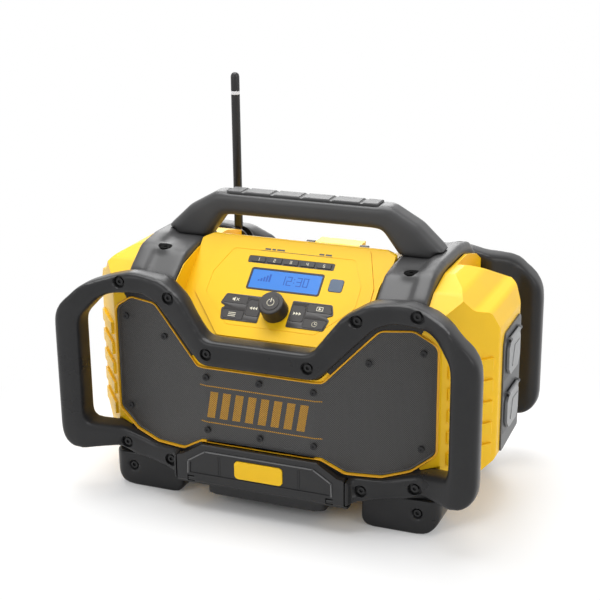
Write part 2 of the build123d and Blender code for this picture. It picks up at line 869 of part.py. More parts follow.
def housing_shell():
    """Both housings as one hollow shell with every opening cut."""
    outer = fuse([carve(body_volume(0, 0), 0.0)] + rib_pads())
    shell = outer - carve(body_volume(front_wall, wall), wall)
    # seat of the grille and the speakers' openings
    shell = shell - (slab_xz(grille_outline(), -reach, 0, slip) & nose_layer(-20, grille_seat))
    for side in (-1, 1):
        shell = shell - on_plane(speaker_frame(side), speaker_hole_r, -5, 20)
    # control panel's opening with its ledge
    shell = shell - on_panel(panel_outline(-slip), -panel_thick / 2, 40)
    shell = shell - on_panel(panel_outline(panel_ledge), -30, 40)
    # device bay
    shell = shell - slab_xz(door_outline(), -reach, -bay_pocket, door_play)
    shell = shell - block(-bay_half - slip, bay_half + slip, -reach, -bay_pocket + 15, bay_low - slip,
                          bay_top + slip)
    # battery bay
    half = pack_half + slip
    shell = shell - block(-half, half, pack_front + 18, reach, pack_low - slip, pack_top + slip)
    shell = shell - block(-half - flange_reach, half + flange_reach, body_rear - pack_flange, reach,
                          pack_low - flange_reach - slip, pack_top + 1 + slip)
    # outlets
    shell = shell - slab_yz(outlet_outline(slip), body_side - outlet_sink, reach)
    for z in outlet_z:
        shell = shell - block(nose_end + 4, reach, outlet_y - socket_half_y - slip,
                              outlet_y + socket_half_y + slip, z - socket_half_z - slip,
                              z + socket_half_z + slip)
    shell = fuse([shell] + foot_lugs())
    for hole in screw_holes():
        shell = shell - hole
    return shell - rod_y(gland_r + slip, gland_x, pack_front - 2, reach, gland_z)


def make_housings():
    """Front and rear housing, split at the mid-plane."""
    shell = housing_shell()
    save(shell & block(-reach, reach, -reach, split_y, 0, reach), "front_housing")
    save(shell & block(-reach, reach, split_y, reach, 0, reach), "rear_housing")


# ---------------------------------------------------------------- cage, saddles and handle

def make_cages():
    """Both cages with their sunk screw holes."""
    front = front_cage()
    for x, z in front_screw_spots:
        face = -cage_depth(x)
        front = front - rod_y(screw_sink_r, x, face - 10, face + screw_sink, z)
        front = front - rod_y(screw_shank_r + hole_play, x, face, face + 60, z)
    save(front, "front_cage")
    rear = rear_cage()
    for x, z in rear_screw_spots:
        face = cage_depth(x)
        rear = rear - rod_y(screw_sink_r, x, face - screw_sink, face + 10, z)
        rear = rear - rod_y(screw_shank_r + hole_play, x, face - 60, face, z)
    save(rear, "rear_cage")


def cage_screws(spots, side):
    """Screws that hold a cage to its housing."""
    screws = []
    for x, z in spots:
        seat = side * (cage_depth(x) - screw_sink + screw_head)
        one = Rot(-90 * side, 0, 0) * screw(screw_shank_r, screw_head_r, screw_head, screw_length - 1)
        screws.append(Pos(x, seat, z) * one)
    return screws


def handle_solid():
    """Carry handle before it is cut to its seats on the saddles."""
    half = handle_width / 2
    low = handle_top - handle_bar
    outside = both_sides([
        (saddle_out - 8, bulge_top - 17, 0), (saddle_out - 8, saddle_crown + 1.5, 14),
        (saddle_out - 38, handle_top - 19, 14), (handle_top_half, handle_top, 18)])
    inside = both_sides([
        (saddle_in, bulge_top - 29, 0), (saddle_in, bulge_top + 5, 10), (handle_top_half - 9, low - 1, 12),
        (handle_top_half - 22, low, 8)])
    handle = slab_xz(outside, -half, half) - slab_xz(inside, -handle_width, handle_width)
    rims = [edge for edge in handle.edges().filter_by(Plane.XZ)
            if abs(abs(edge.center().Y) - half) < pin_play and edge.center().Z > bulge_top - 16]
    return fillet(rims, handle_edge)


def saddle():
    """Right saddle between the two cages, with its roll bar and its skirt."""
    tread = slab_yz(saddle_section(saddle_bar_rise), saddle_in, saddle_out)
    bar = slab_yz(saddle_section(0), saddle_out - saddle_bar, saddle_out)
    arch = tread + bar + saddle_skirt(0)
    return arch - block(0, saddle_rear_in, saddle_step_y, reach, 0, reach)


def make_saddles():
    """Saddles, handle, grip pad and the screws that show on the cage."""
    right = saddle()
    left = mirror(right, Plane.YZ)
    handle = handle_solid() - right - left
    handle = handle - block(-reach, reach, -reach, reach, 0, saddle_crown - saddle_thick + 1.5)
    seat = saddle_crown - bolt_seat
    for x, y in bolt_spots:
        hole = rod_z(bolt_shank_r + hole_play, x, y, seat - 38, seat + 42)
        hole = hole + rod_z(bolt_sink_r, x, y, seat, seat + 42)
        right = right - hole
        left = left - hole
    save(right, "saddle_right")
    save(left, "saddle_left")
    pad_low = handle_top - pad_thick + 1
    pocket = block(-pad_half - slip, pad_half + slip, -pad_width / 2 - slip, pad_width / 2 + slip, pad_low,
                   handle_top + 20)
    save(handle - pocket, "carry_handle")
    pad = block(-pad_half, pad_half, -pad_width / 2, pad_width / 2, pad_low, handle_top + pad_proud)
    pad = fillet(pad.edges().group_by(Axis.Z)[-1], pad_edge)
    for index in range(pad_grooves):
        x = (index - (pad_grooves - 1) / 2) * pad_groove_pitch
        pad = pad - rod_y(pad_groove_r, x, -pad_width, pad_width, handle_top + pad_groove_r)
    save(pad, "grip_pad")
    bolts = []
    for x, y in bolt_spots:
        one = screw(bolt_shank_r, bolt_head_r, bolt_head, bolt_length)
        bolts.append(Pos(x, y, seat + bolt_head) * one)
    save(Compound(children=bolts), "saddle_bolts")
    screws = cage_screws(front_screw_spots, -1) + cage_screws(rear_screw_spots, 1)
    save(Compound(children=screws), "cage_screws")


# ---------------------------------------------------------------- feet and skid plate

def make_feet():
    """Four feet under the cages, with their screws."""
    screws = []
    feet = []
    seats = front_cage(slip) + rear_cage(slip)
    seat = foot_front - screw_sink
    for side_y in (-1, 1):
        for side_x in (-1, 1):
            x = side_x * foot_screw_x
            y_range = sorted((side_y * foot_back, side_y * foot_front))
            points = [(side_x * foot_in, 0, foot_inner_r), (side_x * foot_out, 0, foot_outer_r),
                      (side_x * foot_out, body_floor, 0), (side_x * foot_in, body_floor, 0)]
            plan = [(side_x * foot_in, side_y * foot_back, foot_edge_r),
                    (side_x * foot_out, side_y * foot_back, foot_edge_r),
                    (side_x * foot_out, side_y * foot_front, foot_plan_r),
                    (side_x * foot_in, side_y * foot_front, foot_edge_r)]
            foot = (slab_xz(points, *y_range) & slab_xy(plan, 0, body_floor)) - seats
            lug_x = sorted((x - lug_half - slip, x + lug_half + slip))
            lug_y = sorted((side_y * (lug_back - slip), side_y * (lug_front + slip)))
            foot = foot - block(*lug_x, *lug_y, lug_low - slip, reach)
            hole_y = sorted((side_y * seat, side_y * (foot_front + 10)))
            foot = foot - rod_y(screw_sink_r, x, *hole_y, foot_screw_z)
            shank_y = sorted((side_y * seat, side_y * lug_back))
            foot = foot - rod_y(screw_shank_r + hole_play, x, *shank_y, foot_screw_z)
            feet.append(foot)
            one = Rot(-90 * side_y, 0, 0) * screw(screw_shank_r, screw_head_r, screw_head, screw_length)
            screws.append(Pos(x, side_y * (seat + screw_head), foot_screw_z) * one)
    save(Compound(children=feet), "feet")
    save(Compound(children=screws), "foot_screws")


def make_skid_plate():
    """Skid plate under the belly, hollowed from above."""
    plate = both_sides([(skid_front_half, -skid_front_y, 6), (skid_half, -skid_side_y, 8),
                        (skid_half, skid_back_y, 8)])
    skid = slab_xy(plate, skid_low, belly_floor)
    for index in range(pocket_count):
        x = (index - (pocket_count - 1) / 2) * pocket_pitch
        skid = skid - block(x - pocket_half, x + pocket_half, -pocket_front_y, pocket_back_y,
                            skid_low + wall, belly_floor + 1)
    save(skid, "skid_plate")


# ---------------------------------------------------------------- grille and speakers

def make_grille():
    """Grille that follows the nose, with its screws."""
    plate = slab_xz(grille_outline(), -reach, 0) & nose_layer(grille_sink, grille_seat)
    screws = []
    for x, z in grille_spots:
        face = nose_y(x) + grille_sink
        plate = plate - rod_y(grille_hole_r, x, face - 10, face + 20, z)
        head = rod_y(grille_head_r, x, face - 2.6, face - 1.05, z)
        head = head + rod_y(grille_shank_r, x, face - 1.5, face + 7, z)
        screws.append(head - rod_y(grille_drive_r, x, face - 3, face - 1.8, z))
    save(plate, "grille")
    save(Compound(children=screws), "grille_screws")


def make_speakers():
    """Frame with magnet, and moving cone, of both speakers."""
    for name, side in (("left", -1), ("right", 1)):
        plane = speaker_frame(side)
        back = -basket_depth - speaker_flange + 0.1
        frame = on_plane(plane, speaker_flange_r, -speaker_flange, 0)
        frame = frame + Solid.make_cone(magnet_r, speaker_flange_r - basket_rim, basket_depth,
                                        plane.offset(back))
        frame = frame + on_plane(plane, magnet_r, back - magnet_thick, back)
        frame = frame - Solid.make_cone(magnet_r - basket_wall, speaker_flange_r - basket_rim - basket_wall,
                                        basket_depth, plane.offset(back + basket_wall))
        frame = frame - on_plane(plane, cone_r + cone_gap, -8, 1)
        save(frame, f"speaker_frame_{name}")
        cone = Solid.make_cone(cone_r / 3, cone_r, cone_depth, plane.offset(-cone_depth - cone_sink))
        cone = cone - Solid.make_cone(cone_r / 3 - 1, cone_r - 1, cone_depth,
                                      plane.offset(-cone_depth - cone_sink + 1))
        rim = on_plane(plane, cone_r, -cone_sink - 0.2, -cone_sink + 1)
        rim = rim - on_plane(plane, cone_r - cone_rim, -cone_sink - 1, -cone_sink + 2)
        cap = on_plane(plane, cone_r / 3, -cone_depth - cone_sink - 0.2, -cone_depth - cone_sink + 2)
        save(cone + rim + cap, f"speaker_cone_{name}")


# ---------------------------------------------------------------- control panel

def panel_cutouts():
    """Openings of the control panel, each with its running gap."""
    middle_room = pairing_half + slip
    cuts = [on_panel(points, -5, 5, slip) for points in key_rows.values()]
    cuts.append(panel_block(-display_half - slip, display_half + slip, display_low - slip,
                            display_high + slip, -5, 5, 3))
    cuts.append(panel_block(-strip_half - slip, strip_half + slip, strip_low - slip, strip_high + slip,
                            -5, 5, 2))
    cuts.append(panel_block(pairing_u - middle_room, pairing_u + middle_room, pairing_v - middle_room,
                            pairing_v + middle_room, -5, 5, 3))
    cuts.append(panel_rod(shaft_r + 2, 0, knob_v, -5, 5))
    return cuts


def display_opening(inset, low, high, radius):
    """Block with the display's outline, moved inwards."""
    return panel_block(-display_half + inset, display_half - inset, display_low + inset,
                       display_high - inset, low, high, radius)


def make_panel():
    """Control panel with its margin groove, posts and openings."""
    top = panel_proud
    panel = on_panel(panel_outline(0), -panel_thick / 2, top)
    panel = panel - on_panel(panel_outline(panel_rim), top - panel_groove_depth, 5)
    panel = panel + on_panel(panel_outline(panel_rim + panel_groove), -0.5, top)
    for u, v in panel_posts:
        for side in (-1, 1):
            panel = panel + panel_rod(panel_post_r, side * u, v, board_depth, 0)
    for cut in panel_cutouts():
        panel = panel - cut
    save(panel, "control_panel")


def make_display():
    """Display window, module and dark trim with the preset strip."""
    top = panel_proud
    edge = display_rim + slip / 3
    bezel = display_opening(0, -3, top + 0.3, 3) - display_opening(display_rim, -5, 5, 1.5)
    save(display_opening(edge, -0.8, top - 0.2, 1.4), "display_window")
    lcd = display_opening(edge, -3, -1.0, 1.4)
    foot = panel_block(-display_half - 4, display_half + 4, display_low - 2, display_high + 2,
                       board_depth, -3.2)
    neck = panel_block(-display_half + 6, display_half - 6, display_low + 4, display_high - 4, -3.4, -2.8)
    save(lcd + foot + neck, "display_module")
    strip = panel_block(-strip_half, strip_half, strip_low, strip_high, -3, top - 0.2, 2)
    half_wide = preset_half + slip
    half_high = preset_half_high + slip
    for u in preset_places:
        strip = strip - panel_block(u - half_wide, u + half_wide, strip_middle - half_high,
                                    strip_middle + half_high, -5, 5, 1)
    save(Compound(children=[bezel, strip]), "display_trim")


def stem(u, v):
    """Round stem under a button or key."""
    return panel_rod(stem_r, u, v, button_floor, -button_deep + 0.5)


def make_keys():
    """Function keys, preset buttons and the pairing button."""
    for node, points in key_rows.items():
        key = on_panel(points, -button_deep, panel_proud + key_height)
        u = sum(point[0] for point in points) / len(points)
        v = sum(point[1] for point in points) / len(points)
        save(key + stem(u, v), node)
    top = panel_proud + button_proud
    for index, u in enumerate(preset_places):
        button = panel_block(u - preset_half, u + preset_half, strip_middle - preset_half_high,
                             strip_middle + preset_half_high, -button_deep, top, 1)
        save(button + stem(u, strip_middle), f"preset_button_{index + 1}")
    pairing = panel_block(pairing_u - pairing_half, pairing_u + pairing_half, pairing_v - pairing_half,
                          pairing_v + pairing_half, -button_deep, top, 3)
    save(pairing + stem(pairing_u, pairing_v), "pairing_button")


def make_knob():
    """Tuning knob on its shaft, the power button in its top, and the encoder under it."""
    body = Solid.make_cone(knob_r, knob_top_r, knob_high - knob_low, knob_frame.offset(knob_low))
    body = fillet(body.edges().sort_by(lambda edge: edge.center().Z)[-1:], knob_edge)
    pocket = panel_rod(cap_r + slip, 0, knob_v, knob_high - cap_pocket, knob_high + cap_pocket)
    hub = panel_rod(shaft_r + pin_play, 0, knob_v, -20, knob_high - shaft_below_top)
    save(body - pocket - hub, "tuning_knob")
    collar_r = shaft_r + collar_step
    shaft = panel_rod(shaft_r, 0, knob_v, board_depth + 1, knob_high - shaft_below_top - 0.2)
    save(shaft + panel_rod(collar_r, 0, knob_v, board_depth + 1, board_depth + 3), "knob_shaft")
    cap = panel_rod(cap_r, 0, knob_v, knob_high + cap_proud - cap_thick, knob_high + cap_proud)
    save(cap, "power_button")
    case = panel_block(-encoder_half, encoder_half, knob_v - encoder_half, knob_v + encoder_half,
                       board_depth, button_floor + 3, 1)
    case = case - panel_rod(collar_r + slip, 0, knob_v, board_depth + 1 - slip, board_depth + 3 + slip)
    save(case - panel_rod(shaft_r + pin_play, 0, knob_v, board_depth + 0.5, 5), "encoder")


def make_boards():
    """Control board under the panel, main board behind the battery bay, and power supply."""
    half = panel_high_half + control_board_margin
    board = panel_block(-half, half, control_board_low, control_board_high, board_depth - board_thick,
                        board_depth, 3)
    save(board, "control_board")
    back = pack_front - boss_length
    board = block(-main_board_half, main_board_half, back - board_thick, back, main_board_low,
                  main_board_high)
    save(board, "main_board")
    supply = block(*supply_box, body_floor + wall, supply_top)
    save(fillet(supply.edges().filter_by(Axis.Z), supply_edge), "power_supply")


# ---------------------------------------------------------------- device bay

def door_outline():
    """Outline of the device door seen from the front."""
    return both_sides([
        (door_half, door_low, 0), (door_half, door_shoulder, 3), (door_half - 8, door_shoulder + 1.5, 4),
        (door_top_half, door_top, 6)])


door_pin_y = -door_front + door_thick / 2
door_pin_z = door_low + door_thick / 2


def latch_face(grow):
    """Rounded outline of the door's latch button."""
    half = latch_half + grow
    low = latch_low - grow
    high = latch_high + grow
    return [(-half, low, latch_corner), (half, low, latch_corner), (half, high, latch_corner),
            (-half, high, latch_corner)]


def make_device_bay():
    """Bay behind the device door, with the jack and port in its back wall."""
    mouth = block(-bay_half + bay_wall, bay_half - bay_wall, -reach, -bay_back - bay_wall,
                  bay_low + bay_wall, bay_top - bay_wall)
    box = block(-bay_half, bay_half, -bay_front, -bay_back, bay_low, bay_top)
    bay = box + slab_xz(door_outline(), -bay_front, -bay_pocket, -door_gap) - mouth
    for x in (-ear_x, ear_x):
        ends = (x - ear_width / 2, x + ear_width / 2)
        ear = block(*ends, door_pin_y, -bay_front + 1, door_pin_z - ear_r, door_pin_z + ear_r)
        bay = bay + ear + rod_x(ear_r, *ends, door_pin_y, door_pin_z)
    bay = bay - rod_x(door_pin_r + pin_play, -bay_gap_half, bay_gap_half, door_pin_y, door_pin_z)
    pin_end = ear_x + 8
    hinge_pins.append(rod_x(door_pin_r, -pin_end, pin_end, door_pin_y, door_pin_z))
    ports = []
    for x in (-port_x, port_x):
        bay = bay - block(x - port_half, x + port_half, -bay_back - 5, -bay_back + 5, port_low, port_high)
        half = port_half - slip
        ports.append(block(x - half, x + half, -bay_back - bay_wall - 1, -bay_back + port_depth,
                           port_low + slip, port_high - slip))
    middle = (port_low + port_high) / 2
    ports[0] = ports[0] - rod_y(jack_r, -port_x, -bay_back - 16, -bay_back + 5, middle)
    ports[1] = ports[1] - block(port_x - 6.5, port_x + 6.5, -bay_back - 16, -bay_back + 8, middle - 2.5,
                                middle + 2.5)
    save(bay, "device_bay")
    save(Compound(children=ports), "device_ports")
    gasket = slab_xz(door_outline(), -bay_front - 2.5, -bay_front, -2.5)
    gasket = gasket - slab_xz(door_outline(), -reach, 0, -5.0)
    save(gasket - block(-reach, reach, -reach, 0, 0, door_pin_z + 7), "device_door_gasket")


def make_device_door():
    """Device door, hinged at its foot, and its latch button."""
    outer = -door_front
    inner = -door_front + door_thick
    hinge_edge = door_thick / 2 - 0.1
    side = [(outer, door_low, hinge_edge), (outer, door_top, 2), (inner, door_top, 1),
            (inner, door_low, hinge_edge)]
    door = slab_xz(door_outline(), -reach, 0) & slab_yz(side, -reach, reach)
    door = door - block(-door_half + 4, door_half - 4, outer + door_skin, 0, door_pin_z + 6,
                        door_shoulder - 3)
    rim = both_sides([(door_half - 14, door_low + 10, 2), (door_half - 15, door_shoulder - 5, 3),
                      (door_top_half - 5, door_top - 8.5, 3)])
    door = door + (slab_xz(rim, outer - 1, outer + 1) - slab_xz(rim, outer - 2, 0, -2.5))
    for x in (-ear_x, ear_x):
        half = ear_width / 2 + slip
        door = door - block(x - half, x + half, -reach, 0, 0, door_pin_z + 4.5)
    door = door - rod_x(door_pin_r + pin_play, -ear_x - 9, ear_x + 9, door_pin_y, door_pin_z)
    frame_half = latch_half + latch_frame
    door = door + block(-frame_half, frame_half, outer + 1, inner, latch_low - 3.5, latch_high + 3.5)
    door = door - slab_xz(latch_face(slip), -reach, 0)
    save(door, "device_door")
    button = slab_xz(latch_face(0.0), outer - latch_proud, inner - latch_travel - 1)
    save(button, "device_door_latch")


# ---------------------------------------------------------------- battery bay

cover_near = body_rear + cover_gap
cover_far = cover_near + cover_thick
cover_pin_y = cover_far - cover_edge
cover_pin_z = cover_low + cover_edge


def make_battery_bay():
    """Bay behind the battery cover, with the dock that the pack slides onto."""
    bay = block(-pack_half, pack_half, pack_front, body_rear, pack_low, pack_top)
    half = pack_half + flange_reach
    bay = bay + block(-half, half, body_rear - pack_flange, body_rear, pack_low - flange_reach, pack_top + 1)
    bay = bay - block(-pack_half + pack_wall, pack_half - pack_wall, pack_front + pack_wall, reach,
                      pack_low + pack_wall, pack_top - pack_wall)
    for x in (-cover_ear_x, cover_ear_x):
        ends = (x - cover_ear_width / 2, x + cover_ear_width / 2)
        bay = bay + block(*ends, body_rear - 1, body_rear + 1, pack_low - flange_reach, cover_pin_z + 5)
        bay = bay + block(*ends, body_rear, cover_pin_y, cover_pin_z - cover_ear_r,
                          cover_pin_z + cover_ear_r)
        bay = bay + rod_x(cover_ear_r, *ends, cover_pin_y, cover_pin_z)
    bay = bay - rod_x(cover_pin_r + pin_play, -cover_half, cover_half, cover_pin_y, cover_pin_z)
    for x in (-pack_half + 14, pack_half - 14):
        for z in (pack_low + 32, pack_top - 32):
            bay = bay + rod_y(boss_r, x, pack_front - boss_length, pack_front + 1, z)
    save(bay, "battery_bay")
    pin_end = cover_ear_x + 12
    hinge_pins.append(rod_x(cover_pin_r, -pin_end, pin_end, cover_pin_y, cover_pin_z))
    floor = pack_front + pack_wall
    front = floor + dock_base
    end = floor + rail_depth
    dock = block(-dock_half, dock_half, floor, front, dock_low, dock_high)
    for x in (-rail_x, rail_x):
        dock = dock + block(x - rail_half, x + rail_half, front - 1, end, dock_low, rail_high)
        inner = x - math.copysign(rail_half, x)
        lip = sorted((inner - math.copysign(5, x), inner + math.copysign(0.5, x)))
        dock = dock + block(*lip, end - 4, end, dock_low, rail_high)
    blades = [block(x - 0.5, x + 0.5, front, end, dock_low + 18, dock_low + 50) for x in blade_places]
    save(Compound(children=[dock] + blades), "battery_dock")


def make_battery_cover():
    """Battery cover, hinged at its foot."""
    plan = both_sides([(cover_half, cover_low, 6), (cover_half, cover_top - 22, 10),
                       (cover_half - 20, cover_top, 10)])
    foot_edge = cover_edge - 0.2
    side = [(cover_near, cover_low, foot_edge), (cover_far, cover_low, foot_edge),
            (cover_far, cover_top - 16, 8), (cover_far - 8, cover_top, 4), (cover_near, cover_top, 1)]
    cover = slab_xz(plan, 0, reach) & slab_yz(side, -reach, reach)
    cover = cover - block(-cover_half + 6, cover_half - 6, cover_near - 1, cover_far - cover_skin,
                          cover_pin_z + 8, cover_top - 14)
    line_half = cover_half - 17
    line = block(-line_half, line_half, cover_far - 1.2, reach, cover_low + 32, cover_top - 39)
    line = line - block(-line_half + 4, line_half - 4, cover_far - 3, reach, cover_low + 36, cover_top - 43)
    cover = cover - line
    for x in (-cover_ear_x, cover_ear_x):
        half = cover_ear_width / 2 + slip
        cover = cover - block(x - half, x + half, 0, reach, 0, cover_pin_z + 6)
    cover = cover - rod_x(cover_pin_r + pin_play, -cover_ear_x - 13, cover_ear_x + 13, cover_pin_y,
                          cover_pin_z)
    save(cover, "battery_cover")


def make_clasp():
    """Clasp that holds the battery cover, on its mount."""
    end = clasp_half + clasp_lug
    bore = rod_x(clasp_pin_r + pin_play, -end - 20, end + 20, clasp_y, clasp_z)
    mount = block(-end, end, clasp_y - clasp_lug_r, clasp_y + clasp_lug_r, clasp_base_low, clasp_base_top)
    for side in (-1, 1):
        ends = sorted((side * (clasp_half + slip), side * end))
        mount = mount + block(*ends, clasp_y - clasp_lug_r, clasp_y + clasp_lug_r, clasp_base_low, clasp_z)
        mount = mount + rod_x(clasp_lug_r, *ends, clasp_y, clasp_z)
    save(mount - bore - carve(body_volume(0, 0), 0.0), "clasp_mount")
    tip = clasp_y + clasp_reach
    paddle = rod_x(clasp_r, -clasp_half, clasp_half, clasp_y, clasp_z)
    paddle = paddle + block(-clasp_half, clasp_half, clasp_y, tip, clasp_z, clasp_z + clasp_r)
    paddle = paddle + block(-clasp_half + 6, clasp_half - 6, tip - 3, tip, clasp_z - 6, clasp_z + 1)
    save(paddle - bore, "battery_clasp")
    hinge_pins.append(rod_x(clasp_pin_r, -end, end, clasp_y, clasp_z))


# ---------------------------------------------------------------- antenna

def make_antenna():
    """Mast that folds in a slotted pod on the rear deck."""
    end = mast_x + pod_slot
    side_room = mast_r + mast_room
    foot_room = knuckle_r + mast_room
    half = knuckle_half + slip
    slot = block(mast_x - foot_room, end, mast_y - half, mast_y + half, mast_z - foot_room,
                 mast_z + pod_slot)
    slot = slot + block(mast_x - foot_room, end, mast_y - side_room, mast_y + side_room, mast_z + 4,
                        mast_z + pod_slot)
    slot = slot + block(mast_x + 4, end, mast_y - side_room, mast_y + side_room, mast_z - side_room,
                        mast_z + pod_slot)
    bore = rod_y(antenna_pin_r + pin_play, mast_x, mast_y - 20, mast_y + 20, mast_z)
    pod = rod_y(pod_r, mast_x, mast_y - pod_half, mast_y + pod_half, mast_z)
    save(pod - slot - bore, "antenna_base")
    hinge_pins.append(rod_y(antenna_pin_r, mast_x, mast_y - pod_half, mast_y + pod_half, mast_z))
    knuckle = rod_y(knuckle_r, mast_x, mast_y - knuckle_half, mast_y + knuckle_half, mast_z) - bore
    mast = rod_z(mast_r, mast_x, mast_y, mast_z + 6, mast_tip - 5)
    groove = rod_z(mast_r + 1, mast_x, mast_y, mast_ring, mast_ring + ring_height)
    mast = mast - (groove - rod_z(mast_r - 0.6, mast_x, mast_y, mast_ring - 1, mast_ring + ring_height + 1))
    tip = Pos(mast_x, mast_y, mast_tip - mast_r) * Sphere(mast_r)
    save(knuckle + mast + tip, "antenna_mast")


# ---------------------------------------------------------------- outlets and cord inlet

outlet_inner = body_side - outlet_sink
outlet_outer = outlet_inner + outlet_plate
flap_pin_x = outlet_outer + flap_pin_r + flap_pin_out


def make_outlet_panel():
    """Panel of the two outlets, with the ears of their covers."""
    plate = slab_yz(outlet_outline(), outlet_inner, outlet_outer)
    for z in outlet_z:
        half_y = socket_half_y - socket_lip
        half_z = socket_half_z - socket_lip
        plate = plate - block(0, reach, outlet_y - half_y, outlet_y + half_y, z - half_z, z + half_z)
        top = z + flap_half_z
        for y in (outlet_y - flap_half_y + 3, outlet_y + flap_half_y - 3):
            ear = block(outlet_outer - 1, flap_pin_x, y - 3, y + 3, top - flap_ear_r, top + flap_ear_r)
            plate = plate + ear + rod_y(flap_ear_r, flap_pin_x, y - 3, y + 3, top)
        plate = plate - rod_y(flap_pin_r + pin_play, flap_pin_x, outlet_y - 40, outlet_y + 40, top)
    save(plate, "outlet_panel")


def make_outlets():
    """Sockets behind the panel, and their sprung covers."""
    sockets = []
    for name, z in zip(("upper", "lower"), outlet_z):
        socket = block(outlet_inner - socket_depth, outlet_inner, outlet_y - socket_half_y,
                       outlet_y + socket_half_y, z - socket_half_z, z + socket_half_z)
        half_y = socket_half_y - socket_lip - slip
        half_z = socket_half_z - socket_lip - slip
        socket = socket + block(outlet_inner - 1, outlet_outer - 2, outlet_y - half_y, outlet_y + half_y,
                                z - half_z, z + half_z)
        for y in (outlet_y - blade_slot_y, outlet_y + blade_slot_y):
            socket = socket - block(outlet_inner - 15, reach, y - 1, y + 1, z - 1, z + 7)
        socket = socket - rod_x(2.6, outlet_inner - 12, outlet_inner + 12, outlet_y, z - 7)
        sockets.append(socket)
        top = z + flap_half_z
        low = z - flap_half_z
        front = outlet_y - flap_half_y
        back = outlet_y + flap_half_y
        cut = flap_corner
        points = [(front, low + cut, 1), (front + cut, low, 1), (back - cut, low, 1), (back, low + cut, 1),
                  (back, top - cut, 1), (back - cut, top - 0.5, 1), (front + cut, top - 0.5, 1),
                  (front, top - cut, 1)]
        flap = slab_yz(points, outlet_outer + slip, outlet_outer + slip + flap_thick)
        flap = flap + rod_y(flap_barrel_r, flap_pin_x, front + 6 + slip, back - 6 - slip, top)
        flap = flap - rod_y(flap_pin_r + pin_play, flap_pin_x, front - 10, back + 10, top)
        save(flap, f"outlet_flap_{name}")
        hinge_pins.append(rod_y(flap_pin_r, flap_pin_x, front, back, top))
    save(Compound(children=sockets), "outlet_sockets")


def make_gland():
    """Inlet of the mains lead."""
    y = interpolate([(rear_flat_half, body_rear), (nose_end, rear_side_y)], gland_x)
    gland = rod_y(gland_r, gland_x, y - gland_in, y + gland_out, gland_z)
    gland = gland + rod_y(gland_r + gland_rim, gland_x, y + 2.6, y + gland_out, gland_z)
    save(gland - rod_y(cord_bore_r, gland_x, 0, reach, gland_z), "cord_gland")


hinge_pins = []
make_housings()
make_cages()
make_saddles()
make_feet()
make_skid_plate()
make_grille()
make_speakers()
make_panel()
make_display()
make_keys()
make_knob()
make_boards()
make_device_bay()
make_device_door()
make_battery_bay()
make_battery_cover()
make_clasp()
make_antenna()
make_outlet_panel()
make_outlets()
make_gland()
save(Compound(children=hinge_pins), "hinge_pins")
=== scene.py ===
"""Looks of the jobsite radio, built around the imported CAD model.

The scene is in metres, in the model's own frame. Sizes in this script are in millimetres unless a comment
says otherwise, and MM brings them to metres.
"""

import json
import math

import bmesh
import bpy
from mathutils import Matrix, Vector


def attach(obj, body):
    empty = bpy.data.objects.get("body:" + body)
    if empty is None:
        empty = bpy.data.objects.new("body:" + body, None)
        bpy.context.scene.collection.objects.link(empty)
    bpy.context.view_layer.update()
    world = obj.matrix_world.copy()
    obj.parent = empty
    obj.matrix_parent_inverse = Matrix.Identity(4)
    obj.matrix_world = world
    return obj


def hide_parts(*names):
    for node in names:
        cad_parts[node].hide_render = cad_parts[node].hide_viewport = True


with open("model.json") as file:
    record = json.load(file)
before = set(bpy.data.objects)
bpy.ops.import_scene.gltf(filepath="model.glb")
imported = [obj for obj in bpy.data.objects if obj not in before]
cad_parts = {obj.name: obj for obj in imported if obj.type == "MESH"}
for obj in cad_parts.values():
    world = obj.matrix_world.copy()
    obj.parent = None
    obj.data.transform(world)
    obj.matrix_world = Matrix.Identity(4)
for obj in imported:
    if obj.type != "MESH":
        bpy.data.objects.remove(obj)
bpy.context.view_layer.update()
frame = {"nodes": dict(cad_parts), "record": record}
NODES = frame["nodes"]
RECORD = frame["record"]
MM = 0.001
CABINET = "cabinet"
SLOT_OF = {part["node"]: part["material_slot"] for part in RECORD["subparts"]}
BOTH_SIDES = (-1, 1)


# ---------------------------------------------------------------- camera, light and floor, in metres

CAMERA_PLACE = Vector((0.5790, -1.4300, 0.7318))
CAMERA_AZIMUTH = math.radians(22.3)
CAMERA_BACK = Vector((0.3593, -0.8776, 0.3175)).normalized()    # from the radio to the camera
CAMERA_ROLL = math.radians(-0.65)
CAMERA_LENS = 83.7          # mm
CAMERA_SENSOR = 36.0        # mm
CAMERA_NEAR = 0.05
CAMERA_FAR = 30.0

LAMPS = [                   # name, place, target, size, watts
    ("top", (-0.3, 0.3, 2.4), (0, 0, 0.15), 2.0, 66),
    ("front", (-1.3, -2.4, 1.5), (0, 0, 0.15), 1.4, 13),
    ("rear", (-1.0, 2.5, 1.4), (0, 0, 0.2), 1.6, 26),
    ("side", (2.3, -0.6, 1.3), (0, 0, 0.2), 1.4, 15),
]
FILL_LEVEL = 0.45
PURE_WHITE = (1.0, 1.0, 1.0, 1.0)
FLOOR_COLOR = (0.95, 0.95, 0.95, 1.0)
FLOOR_SIZE = 24.0
SHADOW_INSIDE = 0.08        # distance from the middle within which the floor only shows its lit colour
SHADOW_OUTSIDE = 0.50       # distance from which it is plain white


